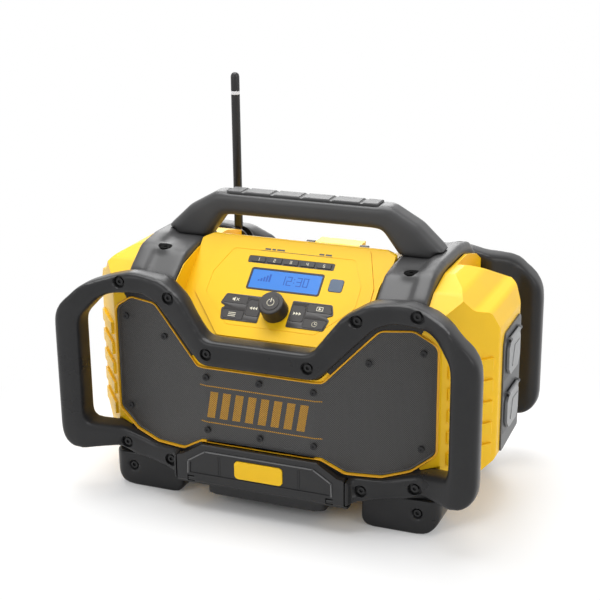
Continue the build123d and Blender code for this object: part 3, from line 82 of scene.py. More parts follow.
def make_camera():
    """Camera in front of the radio, to its right and a little above it."""
    camera = bpy.data.objects.new("camera", bpy.data.cameras.new("camera"))
    bpy.context.scene.collection.objects.link(camera)
    level_right = Vector((math.cos(CAMERA_AZIMUTH), math.sin(CAMERA_AZIMUTH), 0))
    level_up = CAMERA_BACK.cross(level_right)
    right = level_right * math.cos(CAMERA_ROLL) + level_up * math.sin(CAMERA_ROLL)
    up = level_up * math.cos(CAMERA_ROLL) - level_right * math.sin(CAMERA_ROLL)
    turn = Matrix((right, up, CAMERA_BACK)).transposed().to_4x4()
    camera.matrix_world = Matrix.Translation(CAMERA_PLACE) @ turn
    camera.data.lens = CAMERA_LENS
    camera.data.sensor_width = CAMERA_SENSOR
    camera.data.clip_start = CAMERA_NEAR
    camera.data.clip_end = CAMERA_FAR
    bpy.context.scene.camera = camera


def area_light(name, place, target, size, watts):
    """Square soft box at a place, turned to a target."""
    light = bpy.data.lights.new(name, "AREA")
    light.shape = "SQUARE"
    light.size = size
    light.energy = watts
    lamp = bpy.data.objects.new(name, light)
    bpy.context.scene.collection.objects.link(lamp)
    lamp.location = place
    lamp.rotation_euler = (Vector(target) - Vector(place)).to_track_quat("-Z", "Y").to_euler()


def new_node(tree, kind, **settings):
    """Shader node with settings given by input name."""
    node = tree.nodes.new(kind)
    for name, value in settings.items():
        node.inputs[name].default_value = value
    return node


def math_node(tree, operation, first, second):
    """Output of a sum, product or the like of two sockets."""
    node = tree.nodes.new("ShaderNodeMath")
    node.operation = operation
    tree.links.new(first, node.inputs[0])
    tree.links.new(second, node.inputs[1])
    return node.outputs[0]


def mix_shaders(tree, share, lit, white):
    """Output of a blend from the lit shader to the white one."""
    mix = tree.nodes.new("ShaderNodeMixShader")
    tree.links.new(share, mix.inputs[0])
    tree.links.new(lit, mix.inputs[1])
    tree.links.new(white, mix.inputs[2])
    return mix.outputs[0]


def make_world():
    """White for the camera, for gloss and through glass, and a plain level of fill light."""
    world = bpy.data.worlds.new("studio")
    bpy.context.scene.world = world
    world.use_nodes = True
    tree = world.node_tree
    tree.nodes.clear()
    fill = new_node(tree, "ShaderNodeBackground", Strength=FILL_LEVEL)
    white = new_node(tree, "ShaderNodeBackground", Color=PURE_WHITE, Strength=1.0)
    path = tree.nodes.new("ShaderNodeLightPath")
    seen = math_node(tree, "MAXIMUM", path.outputs["Is Camera Ray"], path.outputs["Is Glossy Ray"])
    seen = math_node(tree, "MAXIMUM", seen, path.outputs["Is Transmission Ray"])
    out = tree.nodes.new("ShaderNodeOutputWorld")
    tree.links.new(mix_shaders(tree, seen, fill.outputs[0], white.outputs[0]), out.inputs["Surface"])


def make_floor():
    """White floor that keeps a soft shadow near the object and turns to plain white further out."""
    bpy.ops.mesh.primitive_plane_add(size=FLOOR_SIZE, location=(0, 0, 0))
    floor = bpy.context.object
    floor.name = "floor"
    material = bpy.data.materials.new("floor_white")
    material.use_nodes = True
    tree = material.node_tree
    shader = tree.nodes["Principled BSDF"]
    shader.inputs["Base Color"].default_value = FLOOR_COLOR
    shader.inputs["Roughness"].default_value = 0.9
    shader.inputs["Specular IOR Level"].default_value = 0.0
    place = tree.nodes.new("ShaderNodeTexCoord")
    length = tree.nodes.new("ShaderNodeVectorMath")
    length.operation = "LENGTH"
    tree.links.new(place.outputs["Object"], length.inputs[0])
    outside = tree.nodes.new("ShaderNodeMapRange")
    outside.interpolation_type = "SMOOTHSTEP"
    outside.inputs["From Min"].default_value = SHADOW_INSIDE
    outside.inputs["From Max"].default_value = SHADOW_OUTSIDE
    tree.links.new(length.outputs["Value"], outside.inputs["Value"])
    path = tree.nodes.new("ShaderNodeLightPath")
    seen = math_node(tree, "MAXIMUM", path.outputs["Is Camera Ray"], path.outputs["Is Glossy Ray"])
    share = math_node(tree, "MULTIPLY", outside.outputs["Result"], seen)
    white = new_node(tree, "ShaderNodeEmission", Color=PURE_WHITE, Strength=1.0)
    surface = mix_shaders(tree, share, shader.outputs[0], white.outputs[0])
    tree.links.new(surface, tree.nodes["Material Output"].inputs["Surface"])
    floor.data.materials.append(material)


# ---------------------------------------------------------------- materials

GRAIN_HEIGHT = 0.0002       # metres
GRAIN_DETAIL = {"Detail": 3.0, "Roughness": 0.6}
SLOW_CHANGE = {"Scale": 22.0, "Detail": 4.0, "Roughness": 0.55}
TINT_FROM, TINT_TO = 0.3, 0.7       # noise levels between which the colour changes
HOLE_PITCH = 0.00165                # metres
HOLE_RADIUS = 0.36                  # share of the pitch
HOLE_EDGE = 0.82                    # share of the radius at which a hole's slope begins
HOLE_COLOR = (0.006, 0.006, 0.006, 1.0)
HOLE_HEIGHT = 0.0006                # metres


def base_material(name, color, roughness, metallic=0.0, specular=0.5):
    """Principled material, its constant values on the shader's own sockets."""
    material = bpy.data.materials.new(name)
    material.use_nodes = True
    shader = material.node_tree.nodes["Principled BSDF"]
    shader.inputs["Base Color"].default_value = (*color, 1.0)
    shader.inputs["Roughness"].default_value = roughness
    shader.inputs["Metallic"].default_value = metallic
    shader.inputs["Specular IOR Level"].default_value = specular
    return material


def grain(material, scale, bump, gloss, tint=0.0, height=GRAIN_HEIGHT):
    """Moulded grain: fine bump, and slow changes of gloss and colour over the surface."""
    tree = material.node_tree
    shader = tree.nodes["Principled BSDF"]
    place = tree.nodes.new("ShaderNodeTexCoord")
    fine = new_node(tree, "ShaderNodeTexNoise", Scale=scale, **GRAIN_DETAIL)
    tree.links.new(place.outputs["Object"], fine.inputs["Vector"])
    lift = new_node(tree, "ShaderNodeBump", Strength=bump, Distance=height)
    tree.links.new(fine.outputs["Fac"], lift.inputs["Height"])
    tree.links.new(lift.outputs["Normal"], shader.inputs["Normal"])
    slow = new_node(tree, "ShaderNodeTexNoise", **SLOW_CHANGE)
    tree.links.new(place.outputs["Object"], slow.inputs["Vector"])
    level = shader.inputs["Roughness"].default_value
    spread = tree.nodes.new("ShaderNodeMapRange")
    spread.inputs["To Min"].default_value = level - gloss
    spread.inputs["To Max"].default_value = level + gloss
    tree.links.new(slow.outputs["Fac"], spread.inputs["Value"])
    tree.links.new(spread.outputs["Result"], shader.inputs["Roughness"])
    if tint:
        color = shader.inputs["Base Color"].default_value[:]
        ramp = tree.nodes.new("ShaderNodeValToRGB")
        stops = ramp.color_ramp.elements
        stops[0].position = TINT_FROM
        stops[0].color = tuple(value * (1 - tint) for value in color[:3]) + (1.0,)
        stops[1].position = TINT_TO
        stops[1].color = tuple(value * (1 + tint) for value in color[:3]) + (1.0,)
        tree.links.new(slow.outputs["Fac"], ramp.inputs["Fac"])
        tree.links.new(ramp.outputs["Color"], shader.inputs["Base Color"])
    return material


def moulded(name, color, roughness, scale, bump, gloss, tint=0.0, metallic=0.0, specular=0.5,
            height=GRAIN_HEIGHT):
    """Principled material with moulded grain."""
    material = base_material(name, color, roughness, metallic, specular)
    return grain(material, scale, bump, gloss, tint, height)


def perforated(name, color, roughness):
    """Painted steel with staggered round holes, drawn from the place on the front."""
    material = base_material(name, color, roughness)
    tree = material.node_tree
    shader = tree.nodes["Principled BSDF"]
    place = tree.nodes.new("ShaderNodeTexCoord")
    turn = new_node(tree, "ShaderNodeMapping", Rotation=(math.radians(90), 0, 0))
    stagger = new_node(tree, "ShaderNodeMapping", Rotation=(0, 0, math.radians(45)),
                       Scale=(1 / HOLE_PITCH,) * 3)
    tree.links.new(place.outputs["Object"], turn.inputs["Vector"])
    tree.links.new(turn.outputs["Vector"], stagger.inputs["Vector"])
    cells = tree.nodes.new("ShaderNodeTexVoronoi")
    cells.voronoi_dimensions = "2D"
    cells.inputs["Scale"].default_value = 1.0
    cells.inputs["Randomness"].default_value = 0.0
    tree.links.new(stagger.outputs["Vector"], cells.inputs["Vector"])
    depth = tree.nodes.new("ShaderNodeMapRange")
    depth.interpolation_type = "SMOOTHSTEP"
    depth.inputs["From Min"].default_value = HOLE_RADIUS * HOLE_EDGE
    depth.inputs["From Max"].default_value = HOLE_RADIUS
    tree.links.new(cells.outputs["Distance"], depth.inputs["Value"])
    paint = tree.nodes.new("ShaderNodeMix")
    paint.data_type = "RGBA"
    paint.inputs[6].default_value = HOLE_COLOR
    paint.inputs[7].default_value = (*color, 1.0)
    tree.links.new(depth.outputs["Result"], paint.inputs[0])
    tree.links.new(paint.outputs[2], shader.inputs["Base Color"])
    lift = new_node(tree, "ShaderNodeBump", Strength=0.9, Distance=HOLE_HEIGHT)
    tree.links.new(depth.outputs["Result"], lift.inputs["Height"])
    tree.links.new(lift.outputs["Normal"], shader.inputs["Normal"])
    return material


def glowing(name, color, strength, roughness):
    """Back-lit plastic."""
    material = base_material(name, color, roughness, specular=0.2)
    shader = material.node_tree.nodes["Principled BSDF"]
    shader.inputs["Emission Color"].default_value = (*color, 1.0)
    shader.inputs["Emission Strength"].default_value = strength
    return grain(material, 900.0, 0.03, 0.03)


# name, colour, roughness, grain's scale, grain's bump, change of gloss, change of colour
YELLOW = moulded("yellow_shell", (0.92, 0.55, 0.008), 0.36, 1500.0, 0.08, 0.04, 0.025, specular=0.28)
RUBBER = moulded("cage_rubber", (0.021, 0.021, 0.022), 0.29, 1100.0, 0.16, 0.05, 0.12, specular=0.25)
# lighter, glossier copy of the cage rubber for the top-facing saddles and handle: painted light from above
TOPLIT_RUBBER = moulded("rubber_painted_toplight", (0.046, 0.046, 0.047), 0.38, 1000.0, 0.2, 0.05, 0.1, specular=0.42)
GRIP = moulded("grip_rubber", (0.040, 0.040, 0.041), 0.45, 800.0, 0.35, 0.05, 0.12, specular=0.42,
               height=0.0003)
PLASTIC = moulded("dark_plastic", (0.013, 0.013, 0.014), 0.36, 1600.0, 0.12, 0.05, 0.1, specular=0.4)
KEYS = moulded("key_plastic", (0.024, 0.021, 0.020), 0.42, 1400.0, 0.1, 0.04, 0.1, specular=0.4)
GRILLE = perforated("grille_steel", (0.062, 0.061, 0.060), 0.42)
BADGE = perforated("badge_paint", (0.56, 0.28, 0.012), 0.5)
BORDER = moulded("grille_border", (0.045, 0.045, 0.045), 0.45, 1500.0, 0.12, 0.04)
SCREW = moulded("screw_black", (0.008, 0.008, 0.009), 0.36, 1800.0, 0.12, 0.06, specular=0.35)
GREY = moulded("outlet_grey", (0.075, 0.077, 0.080), 0.40, 1500.0, 0.14, 0.05, 0.05)
PALE = moulded("flap_grey", (0.27, 0.275, 0.28), 0.36, 1500.0, 0.12, 0.05, 0.04)
LCD = glowing("lcd_blue", (0.045, 0.19, 0.58), 0.26, 0.2)
INK = glowing("lcd_ink", (0.02, 0.09, 0.40), 0.15, 0.3)
WHITE = moulded("print_white", (0.74, 0.70, 0.55), 0.5, 1500.0, 0.05, 0.03)
PRINT = moulded("print_dark", (0.045, 0.04, 0.03), 0.45, 1500.0, 0.05, 0.03)
PAIRING = moulded("pairing_blue", (0.035, 0.075, 0.14), 0.3, 1400.0, 0.08, 0.04)
BOARD = moulded("circuit_board", (0.01, 0.09, 0.03), 0.5, 700.0, 0.1, 0.05, 0.15)
CONE = moulded("cone_paper", (0.02, 0.02, 0.02), 0.8, 500.0, 0.4, 0.05, 0.1)
# the lip's yellow darkened to orange: painted shade beside the cage
SHADED_LIP = moulded("lip_painted_shade", (0.80, 0.40, 0.015), 0.4, 1500.0, 0.08, 0.04, specular=0.35)
# light grey for the door's raised line: a painted highlight along its edge
HIGHLIGHT_GREY = moulded("painted_highlight_grey", (0.13, 0.13, 0.132), 0.35, 1500.0, 0.1, 0.05)
# near-black matte for the saddle bolts and the rings over them: painted shade in the bolt holes
SHADE_BLACK = moulded("painted_shade_black", (0.004, 0.004, 0.004), 0.8, 1500.0, 0.05, 0.05, specular=0.05)
SILVER = moulded("mast_ring", (0.75, 0.75, 0.76), 0.25, 1500.0, 0.05, 0.05, metallic=0.6)

LOOKS = {
    "yellow_shell": YELLOW, "cage_rubber": RUBBER, "grip_rubber": GRIP, "dark_plastic": PLASTIC,
    "cover_plastic": PLASTIC, "key_plastic": KEYS, "grille_steel": GRILLE, "screw_steel": SCREW,
    "latch_yellow": YELLOW, "gasket_rubber": PLASTIC, "antenna_rubber": PLASTIC, "outlet_grey": GREY,
    "flap_grey": PALE, "lcd_window": LCD, "lcd_blue": LCD, "pairing_plastic": PAIRING, "cone_paper": CONE,
    "circuit_board": BOARD,
}


# ---------------------------------------------------------------- mesh helpers

WELD_REACH = 0.00001        # metres


def dress(piece, material, body=CABINET):
    """Material and body of a new piece."""
    piece.data.materials.clear()
    piece.data.materials.append(material)
    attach(piece, body)
    return piece


def mesh_piece(name, maker):
    """New mesh object filled by a bmesh function."""
    mesh = bpy.data.meshes.new(name)
    body = bmesh.new()
    maker(body)
    bmesh.ops.recalc_face_normals(body, faces=body.faces)
    body.to_mesh(mesh)
    body.free()
    piece = bpy.data.objects.new(name, mesh)
    bpy.context.scene.collection.objects.link(piece)
    return piece


def new_piece(name, maker, material, body=CABINET):
    """New mesh object, dressed."""
    return dress(mesh_piece(name, maker), material, body)


def apply_modifiers(piece):
    """Turn a piece's modifiers into its mesh."""
    shape = piece.evaluated_get(bpy.context.evaluated_depsgraph_get())
    mesh = bpy.data.meshes.new_from_object(shape)
    piece.modifiers.clear()
    piece.data = mesh
    return piece


def smooth_shading(piece, angle=35.0):
    """Smooth shading that keeps edges sharper than an angle in degrees."""
    mesh = piece.data
    mesh.polygons.foreach_set("use_smooth", [True] * len(mesh.polygons))
    mesh.set_sharp_from_angle(angle=math.radians(angle))
    mesh.update()
    return piece


def stitch(body, here, after):
    """Faces between two rings of points."""
    size = len(here)
    for step in range(size):
        further = (step + 1) % size
        body.faces.new((here[step], here[further], after[further], after[step]))


def rod(body, start, end, radius):
    """Closed cylinder between two points."""
    start = Vector(start) * MM
    end = Vector(end) * MM
    along = end - start
    turn = along.to_track_quat("Z", "Y").to_matrix().to_4x4()
    place = Matrix.Translation((start + end) / 2) @ turn
    bmesh.ops.create_cone(body, cap_ends=True, segments=40, radius1=radius * MM, radius2=radius * MM,
                          depth=along.length, matrix=place)


def lathe(body, start, axis, profile, segments=40):
    """Closed turned shape from (place along the axis, radius) pairs."""
    axis = Vector(axis).normalized()
    side = axis.orthogonal().normalized()
    other = axis.cross(side)
    rings = []
    for along, radius in profile:
        centre = (Vector(start) + axis * along) * MM
        ring = []
        for index in range(segments):
            angle = 2 * math.pi * index / segments
            out = side * math.cos(angle) + other * math.sin(angle)
            ring.append(body.verts.new(centre + out * (radius * MM)))
        rings.append(ring)
    for near, far in zip(rings, rings[1:]):
        stitch(body, near, far)
    body.faces.new(list(reversed(rings[0])))
    body.faces.new(rings[-1])


def cad_copy(name, node):
    """Loose copy of a CAD node's mesh, with its seams welded."""
    mesh = NODES[node].data.copy()
    body = bmesh.new()
    body.from_mesh(mesh)
    bmesh.ops.remove_doubles(body, verts=body.verts, dist=WELD_REACH)
    body.to_mesh(mesh)
    body.free()
    piece = bpy.data.objects.new(name, mesh)
    bpy.context.scene.collection.objects.link(piece)
    return piece


def joined(piece, maker):
    """Add closed shapes to a piece's mesh."""
    body = bmesh.new()
    body.from_mesh(piece.data)
    maker(body)
    body.to_mesh(piece.data)
    body.free()
    return piece


def cut(piece, maker):
    """Take closed shapes away from a piece."""
    tool = mesh_piece(piece.name + "_tool", maker)
    step = piece.modifiers.new("cut", "BOOLEAN")
    step.operation = "DIFFERENCE"
    step.solver = "EXACT"
    step.object = tool
    apply_modifiers(piece)
    bpy.data.objects.remove(tool)
    return piece


def softened(piece, voxel, rounds, keep=0.5):
    """Remesh a piece, round its edges, and keep a share of its faces."""
    remesh = piece.modifiers.new("remesh", "REMESH")
    remesh.mode = "VOXEL"
    remesh.voxel_size = voxel * MM
    smooth = piece.modifiers.new("smooth", "SMOOTH")
    smooth.factor = 0.5
    smooth.iterations = rounds
    thin = piece.modifiers.new("thin", "DECIMATE")
    thin.ratio = keep
    return apply_modifiers(piece)


def bevel_nodes(names, width, segments=3, angle=28.0):
    """Small rounded edges on CAD nodes, as modifiers."""
    for name in names:
        node = NODES[name]
        weld = node.modifiers.new("weld", "WELD")
        weld.merge_threshold = WELD_REACH
        flat = node.modifiers.new("flat", "DECIMATE")
        flat.decimate_type = "DISSOLVE"
        flat.angle_limit = math.radians(0.6)
        edge = node.modifiers.new("edge", "BEVEL")
        edge.width = width * MM
        edge.segments = segments
        edge.limit_method = "ANGLE"
        edge.angle_limit = math.radians(angle)
        edge.use_clamp_overlap = True
        edge.harden_normals = False
        normal = node.modifiers.new("normal", "WEIGHTED_NORMAL")
        normal.keep_sharp = False
        normal.weight = 60


# ---------------------------------------------------------------- outlines and where they lie

PANEL_TILT = math.atan(0.9)
PANEL_X = Vector((1, 0, 0))
PANEL_V = Vector((0, math.cos(PANEL_TILT), math.sin(PANEL_TILT)))
PANEL_N = Vector((0, -math.sin(PANEL_TILT), math.cos(PANEL_TILT)))
PANEL_O = Vector((0, -84.0, 233.3)) * MM
NOSE_FACE = -139.0          # Y of the housing's nose in the middle
NOSE_HALF = 65.0            # half width of its flat middle
NOSE_SWEEP = 0.267          # how far it falls back beyond that, per millimetre
GRILLE_SINK = 1.5           # how far the grille lies behind the nose


def panel_point(u, v, height):
    """Place on the control panel from millimetres in its own plane, in metres."""
    return PANEL_O + PANEL_X * (u * MM) + PANEL_V * (v * MM) + PANEL_N * (height * MM)


def on_level(x, y, z):
    """Place over a level outline, in metres."""
    return Vector((x, y, z)) * MM


def on_outlet(y, z, x):
    """Place on the right side's outlet panel, in metres."""
    return Vector((x, y, z)) * MM


def on_front(x, z, y):
    """Place at a distance in front of the mid-plane, in metres."""
    return Vector((x, -y, z)) * MM


def nose_y(x):
    """Front face of the housing's nose at x."""
    return NOSE_FACE + NOSE_SWEEP * max(0.0, abs(x) - NOSE_HALF)


def on_nose(x, z, height):
    """Place over the housing's nose, in metres."""
    return Vector((x, nose_y(x) - height, z)) * MM


def on_grille(x, z, height):
    """Place over the grille's face, in metres."""
    return Vector((x, nose_y(x) + GRILLE_SINK - height, z)) * MM


def rounded(points, steps=5):
    """Outline with round corners from (a, b, radius) points."""
    out = []
    count = len(points)
    for index, (a, b, radius) in enumerate(points):
        here = Vector((a, b))
        before = Vector(points[index - 1][:2]) - here
        after = Vector(points[(index + 1) % count][:2]) - here
        if radius <= 0:
            out.append((a, b))
            continue
        half = before.angle(after) / 2
        reach = min(radius / math.tan(half), before.length * 0.49, after.length * 0.49)
        start = here + before.normalized() * reach
        end = here + after.normalized() * reach
        for step in range(steps + 1):
            t = step / steps
            point = start * (1 - t) ** 2 + here * (2 * t * (1 - t)) + end * t ** 2
            out.append((point.x, point.y))
    return out


def box_outline(a0, a1, b0, b1):
    """Rectangle as outline points."""
    return [(a0, b0), (a1, b0), (a1, b1), (a0, b1)]


def plate(body, outline, low, high, point=panel_point):
    """Closed plate between two heights over an outline."""
    lower = [body.verts.new(point(a, b, low)) for a, b in outline]
    upper = [body.verts.new(point(a, b, high)) for a, b in outline]
    body.faces.new(upper)
    body.faces.new(list(reversed(lower)))
    stitch(body, lower, upper)


def stroke(body, points, width, low, high, point=panel_point):
    """Thin printed line of a width through points."""
    for (a0, b0), (a1, b1) in zip(points, points[1:]):
        along = Vector((a1 - a0, b1 - b0)).normalized()
        across = Vector((-along.y, along.x)) * (width / 2)
        along = along * (width / 2)
        plate(body, [(a0 - along.x - across.x, b0 - along.y - across.y),
                     (a1 + along.x - across.x, b1 + along.y - across.y),
                     (a1 + along.x + across.x, b1 + along.y + across.y),
                     (a0 - along.x + across.x, b0 - along.y + across.y)], low, high, point)


def arc(radius, start, end, centre, steps=24):
    """Points along an arc, angles in degrees from the right."""
    out = []
    for step in range(steps + 1):
        angle = math.radians(start + (end - start) * step / steps)
        out.append((centre[0] + radius * math.cos(angle), centre[1] + radius * math.sin(angle)))
    return out


# ---------------------------------------------------------------- cage, saddles, handle and feet

CAGE_FACE = [(0, 147), (62, 147), (110, 134), (150, 127), (180, 127), (222, 154), (250, 154)]
CAGE_END = 102.5            # where the front cage stops beside the device door
FRONT_SCREWS = [(175, 256), (111, 246), (60, 191), (175, 60), (116, 50)]
REAR_SCREWS = [(175, 256), (104, 222), (104, 110), (175, 60)]
SCREW_PLUG_RADIUS = 7.4     # fills the screw's hole while the edges are softened
SCREW_PLUG_DEPTHS = (12, 0.4)
RECESS_DEPTH = 5.5
RECESS_PROFILE = [(0, 7.0), (4.6, 7.0), (5.6, 7.7), (9.5, 10.5)]

BOLTS = [(148, -62), (162, 62)]
BOLT_PLUG_RADIUS = 10.0
BOLT_PLUG_HEIGHTS = (268, 284)
BOLT_HOLE_RADIUS = 8.0
BOLT_HOLE_HEIGHTS = (278.0, 300)
# black rings over the saddle bolts, standing in for the shade in their holes
SHADE_RING_HEIGHT = 277.0
SHADE_RING_PROFILE = [(0, 8.3), (5.6, 8.3), (5.8, 8.1), (5.8, 4.0), (0.2, 4.0)]


def cage_depth(x):
    """Distance of the cage's face from the mid-plane."""
    for (x0, y0), (x1, y1) in zip(CAGE_FACE, CAGE_FACE[1:]):
        if x0 <= abs(x) <= x1:
            return y0 + (y1 - y0) * (abs(x) - x0) / (x1 - x0)
    return CAGE_FACE[-1][1]


def make_cage(name, node, spots, side):
    """Cage with rounded tubes and crisp screw recesses, and the front one's crisp ends at the door."""
    places = [(sign * x, z) for x, z in spots for sign in BOTH_SIDES]

    def plugs(body):
        for x, z in places:
            deep, shallow = (side * (cage_depth(x) - depth) for depth in SCREW_PLUG_DEPTHS)
            rod(body, (x, deep, z), (x, shallow, z), SCREW_PLUG_RADIUS)
        if side < 0:
            for sign in BOTH_SIDES:
                block = box_outline(sign * CAGE_END - 3.5, sign * CAGE_END + 3.5, -147, -118)
                plate(body, block, 32.5, 65, on_level)

    def recesses(body):
        for x, z in places:
            start = (x, side * (cage_depth(x) - RECESS_DEPTH), z)
            lathe(body, start, (0, side, 0), RECESS_PROFILE)
        if side < 0:
            plate(body, box_outline(-CAGE_END, CAGE_END, -160, -110), 20, 72, on_level)

    cage = joined(cad_copy(name, node), plugs)
    softened(cage, 2.0, 56, 0.45)
    cut(cage, recesses)
    smooth_shading(cage, 40)
    dress(cage, RUBBER, CABINET)
    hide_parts(node)


def make_saddle(name, node, sign):
    """Saddle with soft edges, its two sunk bolt holes, and black rings in them as painted shade."""
    places = [(sign * x, y) for x, y in BOLTS]

    def bores(heights, radius):
        def shape(body):
            for x, y in places:
                rod(body, (x, y, heights[0]), (x, y, heights[1]), radius)
        return shape

    def shade_rings(body):
        for x, y in places:
            lathe(body, (x, y, SHADE_RING_HEIGHT), (0, 0, 1), SHADE_RING_PROFILE)

    new_piece(name + "_collars", shade_rings, SHADE_BLACK, CABINET)
    saddle = joined(cad_copy(name, node), bores(BOLT_PLUG_HEIGHTS, BOLT_PLUG_RADIUS))
    softened(saddle, 1.6, 80)
    cut(saddle, bores(BOLT_HOLE_HEIGHTS, BOLT_HOLE_RADIUS))
    smooth_shading(saddle, 40)
    # saddle in the lighter rubber copy: painted light from above
    dress(saddle, TOPLIT_RUBBER, CABINET)
    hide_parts(node)


def make_soft(name, node, voxel, rounds, material):
    """Softened stand-in for a CAD node."""
    piece = softened(cad_copy(name, node), voxel, rounds)
    smooth_shading(piece, 45)
    dress(piece, material, CABINET)
    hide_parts(node)


# ---------------------------------------------------------------- control panel

PROUD = 1.2                 # height of the panel's face over its plane
KEY_TOP = 2.0
CAP_TOP = 21.0
BUTTON_TOP = PROUD + 0.6    # presets
KNOB_V = -6.0
KEY_MARK = (KEY_TOP - 0.02, KEY_TOP + 0.05)
CAP_MARK = (CAP_TOP - 0.02, CAP_TOP + 0.08)
DISPLAY_MARK = (0.98, 1.04)
LEGEND_MARK = (PROUD - 0.02, PROUD + 0.04)
PRESET_PITCH = 20.0
PRESETS = 5

KEY_OUTLINES = [
    [(-66, -2, 1.5), (-62, 8, 2), (-36, 8, 1.5), (-36, -2, 1.5)],
    [(-60, -22, 1.5), (-63, -11, 2), (-36, -11, 1.5), (-36, -22, 1.5)],
    [(-34.5, -16, 3), (-34.5, 4, 3), (-18.5, 4, 1.5), (-18.5, -16, 1.5)],
]
SURROUND = [(-68, -3.5, 3), (-63.6, 9.8, 3), (-17, 9.8, 2), (-17, -23.8, 2), (-61.6, -23.8, 3),
            (-64.8, -9.6, 3), (-60.5, -6.5, 3)]
SEGMENTS = {"0": "abcdef", "1": "bc", "2": "abged", "3": "abgcd", "4": "fgbc", "5": "afgcd"}


def grown(points, amount):
    """Outline moved outwards from its middle by about an amount."""
    middle_a = sum(point[0] for point in points) / len(points)
    middle_b = sum(point[1] for point in points) / len(points)
    return [(a + math.copysign(amount, a - middle_a), b + math.copysign(amount, b - middle_b), radius)
            for a, b, radius in points]


def make_key_surrounds():
    """Dark raised trim between the keys of a group."""
    for name, sign in (("left", 1), ("right", -1)):
        def sided(points):
            return rounded([(sign * a, b, radius) for a, b, radius in points])

        def shape(body):
            plate(body, sided(SURROUND), PROUD - 0.4, PROUD + 0.55)

        def holes(body):
            for points in KEY_OUTLINES:
                plate(body, sided(grown(points, 0.15)), PROUD - 2, PROUD + 2)

        surround = cut(mesh_piece("key_surround_" + name, shape), holes)
        edge = surround.modifiers.new("edge", "BEVEL")
        edge.width = 0.15 * MM
        edge.segments = 2
        apply_modifiers(surround)
        dress(smooth_shading(surround), KEYS, CABINET)


def make_key_marks():
    """Plain symbols on the function keys."""
    def skip(sign):
        def shape(body):
            for start in (21.6, 24.8, 28.0):
                u = sign * start
                plate(body, [(u, -8.0), (u, -4.0), (u + sign * 3.0, -6.0)][::sign], *KEY_MARK)
        return shape

    def mute(body):
        plate(body, [(-54.5, 1.8), (-53.0, 1.8), (-51.2, 0.2), (-51.2, 5.8), (-53.0, 4.2), (-54.5, 4.2)],
              *KEY_MARK)
        stroke(body, [(-49.4, 1.6), (-46.6, 4.4)], 0.7, *KEY_MARK)
        stroke(body, [(-49.4, 4.4), (-46.6, 1.6)], 0.7, *KEY_MARK)

    def menu(body):
        for v in (-18.6, -16.5, -14.4):
            stroke(body, [(-53.5, v), (-45.5, v)], 0.8, *KEY_MARK)

    def source(body):
        stroke(body, [(47.0, 0.6), (47.0, 5.2), (54.0, 5.2), (54.0, 0.6), (47.0, 0.6)], 0.7, *KEY_MARK)
        plate(body, [(49.2, 1.4), (52.6, 2.9), (49.2, 4.4)], *KEY_MARK)

    def timer(body):
        stroke(body, arc(2.9, 0, 360, (49.5, -16.5)), 0.7, *KEY_MARK)
        stroke(body, [(49.5, -14.8), (49.5, -16.5), (51.0, -16.5)], 0.6, *KEY_MARK)

    new_piece("mark_forward", skip(1), WHITE, "key_forward")
    new_piece("mark_back", skip(-1), WHITE, "key_back")
    new_piece("mark_mute", mute, WHITE, "key_upper_left")
    new_piece("mark_menu", menu, WHITE, "key_lower_left")
    new_piece("mark_source", source, WHITE, "key_upper_right")
    new_piece("mark_timer", timer, WHITE, "key_lower_right")


def digit(body, text, u, v, wide, tall, width, low, high):
    """Seven-segment digit with its lower left corner at u, v."""
    half = tall / 2
    lines = {"a": [(0, tall), (wide, tall)], "b": [(wide, tall), (wide, half)],
             "c": [(wide, half), (wide, 0)], "d": [(wide, 0), (0, 0)], "e": [(0, 0), (0, half)],
             "f": [(0, half), (0, tall)], "g": [(0, half), (wide, half)]}
    for name in SEGMENTS[text]:
        stroke(body, [(u + a, v + b) for a, b in lines[name]], width, low, high)


def make_display_marks():
    """Time and level bars of the display, the presets' numbers and the legend above them."""
    def figures(body):
        for text, u in (("1", -6), ("2", 2), ("3", 14), ("0", 22)):
            digit(body, text, u, 28.5, 5, 10.5, 1.1, *DISPLAY_MARK)
        for v in (31.5, 36.0):
            plate(body, box_outline(9.8, 11.0, v, v + 1.2), *DISPLAY_MARK)
        for index in range(5):
            u = -33 + 3.2 * index
            plate(body, box_outline(u, u + 2.2, 30, 32 + 2.0 * index), *DISPLAY_MARK)

    new_piece("display_figures", figures, INK, CABINET)

    for index in range(PRESETS):
        u = (index - 2) * PRESET_PITCH

        def number(body):
            digit(body, str(index + 1), u - 1.1, 55.9, 2.0, 3.3, 0.55, BUTTON_TOP - 0.02, BUTTON_TOP + 0.06)

        new_piece(f"preset_number_{index + 1}", number, WHITE, f"preset_{index + 1}")

    def legend(body):
        stroke(body, [(-40, 70.0), (46, 70.0)], 0.45, *LEGEND_MARK)
        for u0, u1 in ((-36, -29), (-27.5, -23), (-21.5, -12), (30, 36), (37.5, 45)):
            plate(body, box_outline(u0, u1, 71.2, 73.4), *LEGEND_MARK)

    new_piece("panel_legend", legend, PRINT)


def make_power_mark():
    """Power symbol on the knob's cap. The pairing button is bare."""
    def power(body):
        stroke(body, arc(4.0, 122, 418, (0, KNOB_V)), 1.0, *CAP_MARK)
        stroke(body, [(0, KNOB_V + 1.0), (0, KNOB_V + 5.2)], 1.0, *CAP_MARK)

    new_piece("mark_power", power, WHITE, "power")


# ---------------------------------------------------------------- grille trim

